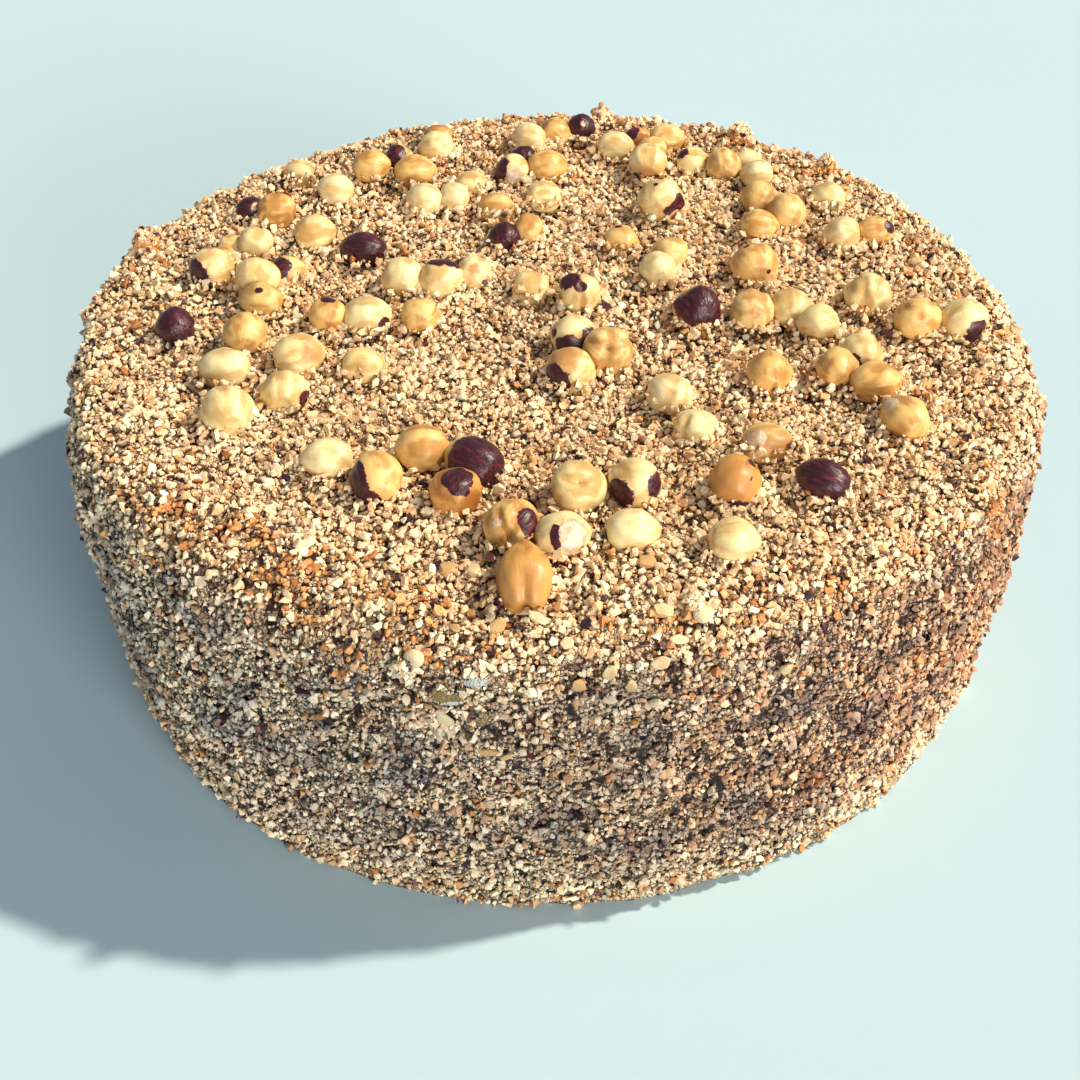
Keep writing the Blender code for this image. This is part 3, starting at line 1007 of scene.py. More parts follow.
# The hazelnuts by group, as in the solids, each with its looks
NUT_GROUPS: list[list[Nut]] = [
    [Nut(-36, 98, 10.5, 180), Nut(-36, 107, 10.5, 170, 1.1, 0.4, tone=ORANGE)],
    [Nut(-42, 82, 11.5, 15, 1.25, 0.3, tone=GOLDEN), Nut(-48, 91, 9.5, 70, marks=(skin(-0.5, 0.2, 62),)),
     Nut(-57, 84, 11, 0, tone=GOLDEN)],
    [Nut(-79, 84, 10, 170, 1.15, 0.45)],
    [Nut(-66, 69, 11, 175, 1.1, tone=WHITE)],
    [Nut(-83, 56, 12.5, 80, 1.1, 0.25, tone=GOLDEN,
         marks=(Fold(-0.5, 0.4, 0.5, 0.4), Fold(-0.7, 0.0, 0.7, 0.0), Fold(-0.5, -0.4, 0.5, -0.4))),
     Nut(-90, 59, 9, 10, 1.15, 0.35, whole_skin=True, marks=(pale(0.4, 0.1, 50),))],
    [Nut(-70, 42, 11.5, 15)],
    [Nut(-98, 23, 13, 60, 1.1, 0.3, marks=(skin(-0.75, -0.5, 52),)),
     Nut(-96, 32, 8, 0, 1.05, 0.4, tone=GOLDEN), Nut(-95, 39, 8, 175, 1.05, 0.4),
     Nut(-87, 37, 10.5, 80, 1.1)],
    [Nut(-82, 5, 11, 170, 1.2, 0.25, tone=GOLDEN, marks=(skin(0.05, 0.45, 13),)), Nut(-84, 15, 13.5, 90, 1),
     Nut(-77, 21, 11, 20, 1.1, 0.35,
         marks=(skin(-0.65, 0.15, 54), skin(-0.1, 0.2, 20), skin(0.2, 0.3, 13)))],
    [Nut(-55, 34, 11, 165, 1.35, 0.3, whole_skin=True, creases=5, crease_depth=0.08)],
    [Nut(-31, 15, 12.5, 90, 1, marks=(skin(-0.1, 0.93, 36), skin(0.55, 0.75, 26))),
     Nut(-44, 17, 12.5, 80, 1.1, 0.25, tone=WHITE),
     Nut(-21, 21, 10.5, 75, 1.2, 0.3, tone=WHITE, marks=(toast(0.1, 0.1, 22),))],
    [Nut(-13, 41, 10, 100, 1.05, 0.3, marks=(skin(0.1, 0.2, 84),)),
     Nut(-6, 45, 9.5, 70, 1.1, tone=GOLDEN, creases=6, crease_depth=0.06, marks=(toast(0.0, 0.7, 50),))],
    [Nut(-16, 61, 11, 5, 1.15, 0.45, tone=GOLDEN)],
    [Nut(-24, 76, 10, 10, 1.15, 0.45)],
    [Nut(-38, 63, 10.5, 165, tone=WHITE), Nut(-29, 65, 9.5, 90, 1.25, tone=WHITE)],
    [Nut(-11, 82, 11, 60, 1.1, 0.25, marks=(skin(-0.8, 0.1, 40), pale(0.0, -0.6, 40))),
     Nut(-8, 90, 9, 95, tone=GOLDEN, marks=(skin(0.0, -0.2, 76),)),
     Nut(0, 84, 11.5, 10, 1.2, 0.25, tone=GOLDEN)],
    [Nut(-6, 105, 10, 165, 1.2, 0.25, tone=WHITE), Nut(3, 110, 10.5, 80, 1.05, 0.3, tone=GOLDEN),
     Nut(12, 112, 9, 90, whole_skin=True, marks=(pale(0.1, 0.1, 34),))],
    [Nut(32, 85, 12.5, 90, marks=(Fold(0.0, 0.9, 0.0, -0.9, 0.12), toast(0.0, -0.8, 44))),
     Nut(34, 96, 9, 170, 1.1, tone=GOLDEN, crease_depth=0.09),
     Nut(40, 105, 10.5, 15, 1.2, 0.25, tone=GOLDEN),
     Nut(29, 104, 9, 10, 1.1, tone=ORANGE, marks=(skin(-0.6, 0.4, 36),)), Nut(22, 98, 10.5, 5, 1.2, 0.25)],
    [Nut(66, 78, 10, 170, 1.1, tone=WHITE), Nut(64, 86, 9, 15, 1.1, tone=WHITE),
     Nut(56, 84, 11, 90, 1.25, tone=GOLDEN, marks=(Fold(0.0, 0.9, 0.05, -0.9, 0.12),)),
     Nut(46, 88, 9.5, 0, 1.2, 0.25, marks=(skin(-0.7, 0.5, 24),))],
    [Nut(64, 46, 10.5, 5, 1.2, 0.25, tone=GOLDEN), Nut(74, 54, 12, 90, tone=GOLDEN),
     Nut(65, 62, 11.5, 85, tone=GOLDEN)],
    [Nut(60, 21, 14, 100, 1.05, tone=GOLDEN, marks=(skin(-0.4, 0.75, 9), skin(0.5, -0.4, 6)))],
    [Nut(87, 65, 11.5, 170, 1.05, 0.4)],
    [Nut(88, 40, 11, 175, 1.05), Nut(99, 42, 10, 0, tone=GOLDEN, marks=(skin(0.75, 0.2, 24),))],
    [Nut(35, 60, 14, 60, 1.2, crease_depth=0.08,
         marks=(Fold(0.0, -0.7, 0.8, -0.2, 0.14), skin(0.25, -0.6, 13), skin(0.5, -0.42, 13),
                skin(0.78, -0.2, 22), skin(-0.3, 0.55, 8), toast(0.6, -0.75, 24)))],
    [Nut(22, 40, 10, 10, 1.15, 0.4, tone=GOLDEN, marks=(skin(-0.2, 0.9, 14),))],
    [Nut(32, 20, 11, 90, tone=WHITE), Nut(36, 30, 10.5, 165, 1.1, tone=GOLDEN)],
    [Nut(-5, 14, 11, 90, 1.15, 0.45, creases=5)],
    [Nut(9, 7, 12, 80, 1.1,
         marks=(skin(-0.55, 0.6, 34), skin(0.0, 0.2, 19), Fold(0.05, 0.3, 0.1, -0.9, 0.1)))],
    [Nut(42, -2, 13.5, 100, 1.05, 0.25, tone=GOLDEN, crease_depth=0.08,
         marks=(skin(0.1, 0.45, 78), skin(0.6, -0.1, 40), Fold(-0.6, -0.3, 0.5, -0.1)))],
    [Nut(75, -10, 11.5, 180, 1.05), Nut(67, 0, 11.5, 90, 1.2),
     Nut(57, -3, 12.5, 90, tone=GOLDEN, marks=(Fold(-0.5, 0.5, 0.4, 0.6), Fold(0.5, 0.5, 0.6, -0.4)))],
    [Nut(91, 5, 13.5, 70, 1.1, 0.25, pointed=True,
         marks=(Fold(-0.25, 0.7, -0.2, -0.7), Fold(0.3, 0.6, 0.3, -0.7)))],
    [Nut(103, -8, 12.5, 10, tone=GOLDEN, marks=(Fold(-0.7, 0.5, 0.6, -0.5, 0.12),)),
     Nut(116, -8, 12.5, 30, 1.2, 0.25, marks=(skin(0.45, -0.65, 36),))],
    [Nut(87, -38, 11.5, 10, 1.3, 0.25, tone=GOLDEN, crease_depth=0.08), Nut(76, -31, 11.5, 85, tone=GOLDEN),
     Nut(86, -23, 11.5, 100, 1.15, 0.25, marks=(skin(-0.5, -0.5, 24),))],
    [Nut(59, -34, 12, 80, tone=GOLDEN, marks=(Fold(0.0, 0.8, 0.15, -0.8),))],
    [Nut(6, -31, 13.5, 75, 1.05, 0.3, marks=(toast(-0.4, 0.5, 46), skin(-0.65, -0.45, 38))),
     Nut(16, -24, 14, 120, 1.1, tone=GOLDEN,
         marks=(Fold(0, 0, 0.8, 0.3, 0.13), Fold(0, 0, -0.7, 0.4, 0.13), Fold(0, 0, -0.1, -0.8, 0.13),
                Fold(0, 0, 0.1, 0.8, 0.13))),
     Nut(7, -16, 12.5, 15, 1.1, marks=(skin(-0.2, -0.6, 36), skin(0.75, -0.2, 30), skin(-0.85, 0.1, 12)))],
    [Nut(32, -42, 12, 110, 1.35, 0.35, tone=WHITE, creases=0,
         marks=(Fold(0.3, 0.8, -0.3, -0.8, 0.12), Fold(0.7, 0.5, 0.3, -0.7, 0.08)))],
    [Nut(56, -63, 11, 5, 1.3, 0.4, tone=GOLDEN,
         marks=(pale(-0.55, 0.2, 26), toast(0.1, 0.0, 26), toast(0.75, 0.0, 40)))],
    [Nut(92, -55, 11.5, 115, 1.4, tone=GOLDEN, creases=6, crease_depth=0.05,
         marks=(pale(-0.7, 0.65, 26),))],
    [Nut(68, -81, 10.5, 155, 1.35, whole_skin=True, creases=5)],
    [Nut(46, -82, 13, 75, tone=ORANGE,
         marks=(toast(-0.1, 0.0, 60), skin(0.0, -0.98, 30), skin(0.5, 0.05, 6), skin(0.65, 0.65, 12)))],
    [Nut(44, -105, 11.5, 5)],
    [Nut(21, -83, 13.5, 105, 1.1,
         marks=(skin(-0.62, -0.42, 34), skin(0.84, -0.1, 30), skin(0.0, -1.0, 22)))],
    [Nut(20, -101, 11.5, 5, 1.2, tone=WHITE, creases=0)],
    [Nut(3, -103, 12, 10, 1.2, tone=WHITE, creases=5,
         marks=(skin(-0.27, 0.32, 10), skin(-0.31, 0.05, 11), skin(-0.27, -0.22, 11), skin(-0.18, -0.45, 9),
                pale(0.45, 0.0, 44), toast(0.45, 0.1, 9))),
     Nut(-10, -99, 13.5, 60, 1.1, tone=GOLDEN,
         marks=(skin(0.66, 0.15, 30), skin(0.45, -0.72, 19), pale(-0.55, 0.1, 11),
                Fold(-0.5, 0.6, -0.1, -0.5, 0.15), Fold(-0.1, -0.5, 0.3, 0.7, 0.15)))],
    [Nut(-6, -117, 13.5, 90, 1.4, 0.2, 22, tone=ORANGE, pointed=True, creases=2,
         marks=(Fold(0.0, 0.15, 0.05, -0.9, 0.15), toast(0.0, -0.2, 50), pale(0.0, -1.0, 20)))],
    [Nut(7, -85, 14, 100,
         marks=(Fold(-0.5, 0.4, 0.1, 0.2, 0.15), Fold(0.1, 0.2, 0.5, 0.5, 0.15),
                Fold(0.0, -0.2, 0.6, -0.2, 0.1)))],
    [Nut(-23, -86, 13, 70, 1.1, tone=ORANGE,
         marks=(skin(0.1, 0.62, 38), skin(0.1, 0.2, 22), skin(0.4, 0.0, 12))),
     Nut(-19, -73, 14, 140, 1.2, 0.25, marks=(skin(0.30, 0.20, 78),), creases=5, crease_depth=0.08),
     Nut(-33, -68, 13.5, 180, 1.05, tone=GOLDEN, marks=(Fold(0.1, 0.95, 0.2, -0.9, 0.16),))],
    [Nut(-43, -80, 13.5, 100, tone=GOLDEN,
         marks=(skin(-0.78, 0.05, 34), skin(-0.62, -0.4, 34), skin(-0.3, -0.8, 28), skin(0.15, -0.98, 20)))],
    [Nut(-36, -4, 11, 90, 1.05, tone=GOLDEN)],
    [Nut(-51, -4, 12, 0, 1.2, 0.25, tone=WHITE, marks=(skin(0.8, -0.4, 18),)),
     Nut(-62, -4, 11, 90, 1.05, tone=GOLDEN, marks=(skin(0.1, 0.9, 24),))],
    [Nut(-84, -13, 12, 95, 1.2, tone=GOLDEN)],
    [Nut(-68, -25, 13, 10, marks=(Fold(0.15, 0.8, 0.35, -0.8, 0.12), toast(0.75, 0.1, 34)))],
    [Nut(-70, -42, 12.5, 90, 1.05, marks=(skin(0.9, -0.35, 22),))],
    [Nut(-50, -28, 11.5, 0, 1.15, 0.35, crease_depth=0.09)],
    [Nut(-88, -29, 12, 170, 1.3, 0.3, tone=WHITE, creases=1)],
    [Nut(-84, -50, 14, 110, 1.1, 0.25)],
    [Nut(-104, -9, 11, 110, 1.2, whole_skin=True, creases=5, crease_depth=0.09)],
    [Nut(-1, 67, 10.5, 15, 1.15, 0.35)],
    [Nut(38, -57, 9.5, 10, 1.3, 0.25, tone=WHITE, creases=0, marks=(Fold(-0.5, 0.5, -0.6, -0.5, 0.14),))],
    [Nut(-56, -71, 11.5, 195, 1.2, 0.25, tone=WHITE, creases=0)],
]


@dataclass
class Hazelnuts:
    """All hazelnuts on the top, each group of touching ones as one piece."""

    seed: int = 23
    fine_seed: int = 71
    heap_count: float = 5.5
    heap_start: float = 0.93
    heap_width: float = 0.34
    heap_height: float = 0.20
    heap_fall: float = 1.3
    heap_stray: Pair = (0.4, 1.0)
    heap_way: Pair = (0.5, 0.85)
    deep_from: float = 0.3
    deep_gain: float = 1.5
    clinging: int = 7
    cling_heights: Pair = (0.20, 0.34)
    touch_share: Pair = (0.80, 0.91)
    shape: KernelShape = field(default_factory=KernelShape)
    finish: KernelFinish = field(default_factory=KernelFinish)
    sites: list[tuple[Vector, Vector]] = field(default_factory=list)

    def settle(self, group: list[Nut]) -> None:
        """Move the later nuts of a group so that each touches its nearest earlier neighbour."""
        for k in range(1, len(group)):
            here = group[k]
            near = min(group[:k], key=lambda other: (other.at - here.at).length)
            away = here.at - near.at
            reach = here.plan_reach(away) + near.plan_reach(away)
            distance = min(max(away.length, self.touch_share[0] * reach), self.touch_share[1] * reach)
            here.at = near.at + away.normalized() * distance

    def build(self) -> None:
        """Build and dress every group."""
        material = self.finish.material()
        rng = random.Random(self.seed)
        fine = random.Random(self.fine_seed)
        for number, group in enumerate(NUT_GROUPS, start=1):
            self.settle(group)
            ending = f"{'s' if len(group) > 1 else ''}_{number:02d}"
            mesh = bpy.data.meshes.new(f"kernel{ending}")
            whole = bmesh.new()
            for kernel in group:
                bm = self.shape.placed(kernel, rng, fine)
                self.note_sites(kernel, bm, fine)
                bm.to_mesh(mesh)
                bm.free()
                whole.from_mesh(mesh)
            whole.to_mesh(mesh)
            whole.free()
            mesh.shade_smooth()
            show(mesh, material, (f"hazelnut{ending}",))

    def note_sites(self, kernel: Nut, bm: BMesh, rng: random.Random) -> None:
        """Choose where crumbs are heaped round a kernel's foot, and where some cling low on its sides.

        Args:
            kernel: the kernel.
            bm: the kernel in place.
            rng: the draws.
        """
        bm.normal_update()
        deep = kernel.sunk > self.deep_from
        bed = self.shape.bed(kernel, kernel.at)
        highest = self.heap_height * kernel.wide * (self.deep_gain if deep else 1.0)
        outward, upward = self.heap_way
        for _ in range(round(self.heap_count * kernel.width)):
            angle = rng.uniform(-math.pi, math.pi)
            out = Vector((math.cos(angle), math.sin(angle), 0.0))
            away = rng.random() ** self.heap_fall
            far = kernel.plan_reach(out) * (self.heap_start + self.heap_width * away)
            height = highest * (1 - away) * rng.uniform(*self.heap_stray)
            place = Vector((*kernel.at, bed + height)) + out * far
            place.z = min(place.z, self.shape.bed(kernel, place.xy) + height)
            if place.xy.length < FLAT_RADIUS:
                self.sites.append((place, (out * outward + Vector((0.0, 0.0, upward))).normalized()))
        limit = bed + kernel.wide * self.cling_heights[deep]
        low = [vert for vert in bm.verts if bed < vert.co.z < limit]
        for vert in rng.sample(low, min(self.clinging, len(low))):
            self.sites.append((vert.co.copy(), vert.normal.copy()))


class Build(Enum):
    """The plain body that a chopped bit is broken from."""

    MANY_SIDED = 1
    SHARD = 2
    SPLINTER = 3


@dataclass(frozen=True)
class Grain:
    """The form of the chopped bits of one size, middle across and relative spread first."""

    build: Build
    middle: float
    spread: float = 0.2
    flatness: Triple = (1.0, 0.88, 0.76)
    stray: float = 0.16
    patterns: int = 36
    radius: float = 0.5
    corners: int = 8
    corner_radius: float = 0.42
    corner_stray: float = 0.3
    corner_level: float = 0.28
    level_stray: float = 0.1

    def chips(self, rng: random.Random) -> list[tuple[np.ndarray, np.ndarray]]:
        """Break a few dozen chunky chips, each 1 across on average.

        Args:
            rng: the draws.

        Returns:
            The points and triangles of each chip.
        """
        made = []
        for _ in range(self.patterns):
            bm = bmesh.new()
            if self.build is Build.MANY_SIDED:
                bmesh.ops.create_icosphere(bm, subdivisions=1, radius=self.radius)
            elif self.build is Build.SHARD:
                for k in range(self.corners):
                    step = k + rng.uniform(-self.corner_stray, self.corner_stray)
                    around = 2 * math.pi * step / self.corners
                    level = self.corner_level if k % 2 else -self.corner_level
                    level += rng.uniform(-self.level_stray, self.level_stray)
                    place = Vector((math.cos(around), math.sin(around), 0.0)) * self.corner_radius
                    bm.verts.new((place.x, place.y, level))
                bmesh.ops.convex_hull(bm, input=bm.verts[:])
            else:
                bmesh.ops.create_uvsphere(bm, u_segments=4, v_segments=2, radius=self.radius)
            bmesh.ops.triangulate(bm, faces=bm.faces[:])
            for vert in bm.verts:
                vert.co += Vector([rng.gauss(0, 1) for _ in range(3)]) * self.stray * self.radius
                vert.co = Vector(a * b for a, b in zip(vert.co, self.flatness))
            bm.verts.index_update()
            points = np.array([vert.co[:] for vert in bm.verts])
            faces = np.array([[vert.index for vert in face.verts] for face in bm.faces])
            made.append((points / np.ptp(points, axis=0).mean(), faces))
            bm.free()
        return made


COARSE = Grain(Build.MANY_SIDED, 1.95 * MM, 0.22, (1.0, 0.84, 0.72), 0.28)
MEDIUM = Grain(Build.SHARD, 1.4 * MM, 0.22, (1.0, 0.88, 0.78), 0.19)
FINE = Grain(Build.SPLINTER, 1.0 * MM, 0.22, stray=0.22)
FLAKE = Grain(Build.SHARD, 1.35 * MM, 0.30, (1.0, 0.8, 0.30), 0.20)

# Painted shade between the crumbs: reddish brown on the lit top, near black on the shaded wall
TOP_GAP_SHADE = (0.10, 0.026, 0.007)
WALL_GAP_SHADE = (0.024, 0.010, 0.008)
top_crumb = partial(CrumbFinish, gap_shade=TOP_GAP_SHADE, gap_shade_reach=(0.02, 0.36))
wall_crumb = partial(CrumbFinish, gap_shade=WALL_GAP_SHADE)


@dataclass(frozen=True)
class CrumbKind:
    """One kind of crumb: its finish, and the grains of its coarse, medium and fine bits."""

    finish: CrumbFinish
    grains: tuple[Grain, ...] = (COARSE, MEDIUM, FINE)


# The kinds of crumb, by the start of their pieces' names
KINDS = {
    "top_cream": CrumbKind(top_crumb("top_cream_crumb", (0.98, 0.82, 0.53), (0.90, 0.64, 0.37))),
    "top_tan": CrumbKind(top_crumb("top_tan_crumb", (0.96, 0.75, 0.47), (0.86, 0.58, 0.33))),
    "top_golden": CrumbKind(top_crumb("top_golden_crumb", (0.93, 0.66, 0.36), (0.76, 0.45, 0.21))),
    "wall_cream": CrumbKind(wall_crumb("wall_cream_crumb", (0.98, 0.87, 0.60), (0.90, 0.71, 0.46))),
    # a darker, greyer copy of the wall's cream crumbs, gathered on the shaded left: painted shade
    "wall_shaded_dull": CrumbKind(wall_crumb("wall_shaded_dull_crumb", (0.84, 0.72, 0.50), (0.56, 0.44, 0.30))),
    "wall_golden": CrumbKind(wall_crumb("wall_golden_crumb", (0.88, 0.63, 0.36), (0.58, 0.34, 0.18))),
    # toasted crumbs, partly painted warm light at the shoulder and painted bounce light at the foot
    "toasted": CrumbKind(CrumbFinish("toasted_and_warm_lit_crumb", (0.84, 0.46, 0.17), (0.50, 0.19, 0.050), TOP_GAP_SHADE, 0.6)),
    "skin": CrumbKind(CrumbFinish("skin_crumb", (0.11, 0.026, 0.036), (0.022, 0.008, 0.016), WALL_GAP_SHADE, 0.4),
                      (FLAKE, FLAKE, FLAKE)),
    "white": CrumbKind(wall_crumb("white_crumb", (0.95, 0.88, 0.64), (0.86, 0.72, 0.46))),
}


def coat_place(angle: float, height: float) -> tuple[Vector, Vector]:
    """Find a place of the coat.

    Args:
        angle: its angle about the axis, in degrees.
        height: its height in mm, or below nought the distance in mm inwards from the shoulder's upper rim.

    Returns:
        The place, and the outward direction there.
    """
    around = Vector((math.cos(math.radians(angle)), math.sin(math.radians(angle)), 0.0))
    if height < 0:
        inwards = around * (FLAT_RADIUS + height * MM)
        return inwards + Vector((BELLY_SHIFT, 0.0, TOP_HEIGHT)), Vector((0.0, 0.0, 1.0))
    up = held((height * MM - BELLY_HEIGHT) / SHOULDER_RADIUS)
    out = math.sqrt(1 - up * up)
    level = min(1.0, height * MM / BELLY_HEIGHT)
    radius = FOOT_RADIUS + (BELLY_RADIUS - FOOT_RADIUS) * math.sin(0.5 * math.pi * level) ** BELLY_FULLNESS
    if up > 0:
        radius = FLAT_RADIUS + SHOULDER_RADIUS * out
    return around * radius + Vector((BELLY_SHIFT, 0.0, height * MM)), around * out + Vector((0.0, 0.0, up))


# Where toasted crumbs are gathered, partly as painted warm light where the lamp grazes the shoulder: angle in
# degrees, height as for coat_place, and reach in mm
TOASTED_AND_SUNLIT_PLACES = (
    (-140, 99, 6), (-134, 97, 5), (-127, -1, 7), (-123, 97, 4), (-119, 99, 7), (-116, 94, 4),
    (-111, 88, 4), (-113, 82, 2.5), (-105, 98, 6), (-103, 92, 3), (-115, 66, 3), (-104, 79, 2.5),
    (-79, 98, 3.5), (-70, 97, 6), (-60, 96, 5), (-62, 35, 6), (-98, 45, 3), (60, -2, 6), (45, -2, 6),
    (160, 98, 5), (-48, 60, 5), (-35, 88, 6),
)


class Shade(Enum):
    """The flesh of a larger bit."""

    PALE = 0.2
    CREAM = 0.45
    GOLDEN = 0.85


@dataclass(frozen=True)
class Bit:
    """A larger chopped bit on the coat: place as for coat_place, length and breadth in mm, and its turn."""

    angle: float
    height: float
    length: float
    breadth: float
    turn: float
    shade: Shade = Shade.CREAM
    thickness: float = 0.45
    rounded: bool = False


# The larger bits: those that the photo shows, then guessed ones round the rest of the wall
BITS = [
    Bit(-104, 91, 5.0, 4.5, 0, Shade.PALE, 0.7, True), Bit(-101, 74, 7, 3.5, -45, Shade.PALE),
    Bit(-79, 55, 5, 4, 20), Bit(-75, 98, 5, 4.5, 0, Shade.PALE, 0.6, True), Bit(-79, 99, 6, 4.5, -20),
    Bit(-80, 91, 6, 4, 0), Bit(-78, 95, 5.5, 3, -12, Shade.PALE), Bit(-85, 90, 5, 4, 40),
    Bit(-96, 98, 5, 4, 60, Shade.GOLDEN), Bit(-89, 96, 4, 3.5, 15), Bit(-83, 86, 4, 3.5, 80),
    Bit(-97, 64, 7, 2.5, 4, Shade.GOLDEN), Bit(-95, 63, 5, 2, 30), Bit(-103, -8, 5, 4, 30, Shade.GOLDEN),
    Bit(-100, -9, 4.5, 3.5, 70), Bit(-79, -11, 6, 4.5, 0, Shade.GOLDEN), Bit(-92, 99, 6, 3, -25, Shade.PALE),
    Bit(-88, 87, 4.5, 3.5, -50, Shade.GOLDEN), Bit(-67, 82, 4.5, 3.5, 10, Shade.PALE), Bit(-60, -14, 4, 3, 0),
    Bit(-30, -10, 4.5, 3, 50), Bit(15, -12, 4.5, 3.5, 15), Bit(75, -15, 4.5, 3.5, 30),
    Bit(120, -8, 4.5, 3, 75), Bit(165, 92, 4.5, 3.5, 20), Bit(-150, 40, 4.5, 3, 60), Bit(-20, 55, 5, 3, 35),
    Bit(40, 60, 4.5, 3.5, 5), Bit(95, 35, 4.5, 3, 45), Bit(140, 70, 5, 3, 25), Bit(-170, 65, 4, 3.5, 70),
    Bit(-40, 25, 4.5, 3.5, 0),
]


@dataclass
class LargerBits:
    """The chopped bits that stand out of the coat: cut slices and rounded ends of nuts."""

    seed: int = 17
    corners: int = 11
    corner_stray: float = 0.4
    corner_reach: Pair = (0.7, 1.0)
    level: float = 0.75
    level_stray: float = 0.25
    edge: float = 0.09
    edge_profile: float = 0.6
    dent: float = 0.13
    dent_pace: float = 1.6
    lift: float = 0.12
    middle_rise: float = 0.75
    rise_slope: float = 0.5
    sharp_deg: float = 45.0
    # the third colour is painted shade, which the rise lays on each bit's underside
    finish: CrumbFinish = CrumbFinish("larger_bit", (0.68, 0.58, 0.33), (0.56, 0.34, 0.13),
                                      (0.30, 0.16, 0.07), patch_scale=420.0, grain_scale=2200.0,
                                      bump=0.00025)

    def shape(self, bit: Bit, rng: random.Random) -> BMesh:
        """Break one bit, with its cut edges a little blunted.

        Args:
            bit: the bit.
            rng: the draws.

        Returns:
            The closed bit, 2 across, centred and unturned.
        """
        bm = bmesh.new()
        if bit.rounded:
            bmesh.ops.create_icosphere(bm, subdivisions=3, radius=1.0)
            offset = Vector([rng.uniform(0, 9) for _ in range(3)])
            for vert in bm.verts:
                vert.co *= 1 + self.dent * noise.noise(vert.co * self.dent_pace + offset)
            return bm
        for k in range(self.corners):
            around = 2 * math.pi * (k + rng.uniform(-self.corner_stray, self.corner_stray)) / self.corners
            level = self.level if k % 2 else -self.level
            bm.verts.new((math.cos(around) * rng.uniform(*self.corner_reach),
                          math.sin(around) * rng.uniform(*self.corner_reach),
                          level + rng.uniform(-self.level_stray, self.level_stray)))
        bmesh.ops.convex_hull(bm, input=bm.verts[:])
        bmesh.ops.bevel(bm, geom=bm.edges[:], offset=self.edge, segments=2, profile=self.edge_profile,
                        affect="EDGES")
        return bm

    def build(self) -> None:
        """Build and dress all of the bits as one piece."""
        rng = random.Random(self.seed)
        whole = bmesh.new()
        mesh = bpy.data.meshes.new("larger_bits")
        for bit in BITS:
            bm = self.shape(bit, rng)
            tone = bm.verts.layers.float.new("tone")
            rise = bm.verts.layers.float.new("rise")
            place, way = coat_place(bit.angle, bit.height)
            spin = way.to_track_quat("Z", "Y").to_matrix() @ Matrix.Rotation(math.radians(bit.turn), 3, "Z")
            half = Vector((bit.length, bit.breadth, bit.breadth * bit.thickness)) * 0.5 * MM
            for vert in bm.verts:
                vert[tone] = bit.shade.value
                # painted shade: the rise falls towards the bit's underside
                vert[rise] = min(1.0, self.middle_rise + self.rise_slope * vert.co.z)
                size = Vector(a * b for a, b in zip(vert.co, half))
                vert.co = place + way * (self.lift * bit.breadth * MM) + spin @ size
            bmesh.ops.recalc_face_normals(bm, faces=bm.faces[:])
            bm.to_mesh(mesh)
            bm.free()
            whole.from_mesh(mesh)
        whole.to_mesh(mesh)
        whole.free()
        mesh.shade_smooth()
        mesh.set_sharp_from_angle(angle=math.radians(self.sharp_deg))
        show(mesh, self.finish.material())


def swells(places: np.ndarray, size: float) -> np.ndarray:
    """Find smooth noise of one size at each place."""
    return np.array([noise.noise(Vector(place) / size) for place in places])


def lowness(places: np.ndarray, run: float) -> np.ndarray:
    """Find how near the foot each place is, from 1 at the floor to 0 at the height of the run."""
    return np.clip(1 - places[:, 2] / run, 0, 1)


def evened(values: np.ndarray) -> np.ndarray:
    """Spread values evenly from 0 to 1, in their own order."""
    spread = np.empty(len(values))
    spread[np.argsort(values)] = np.linspace(0, 1, len(values))
    return spread


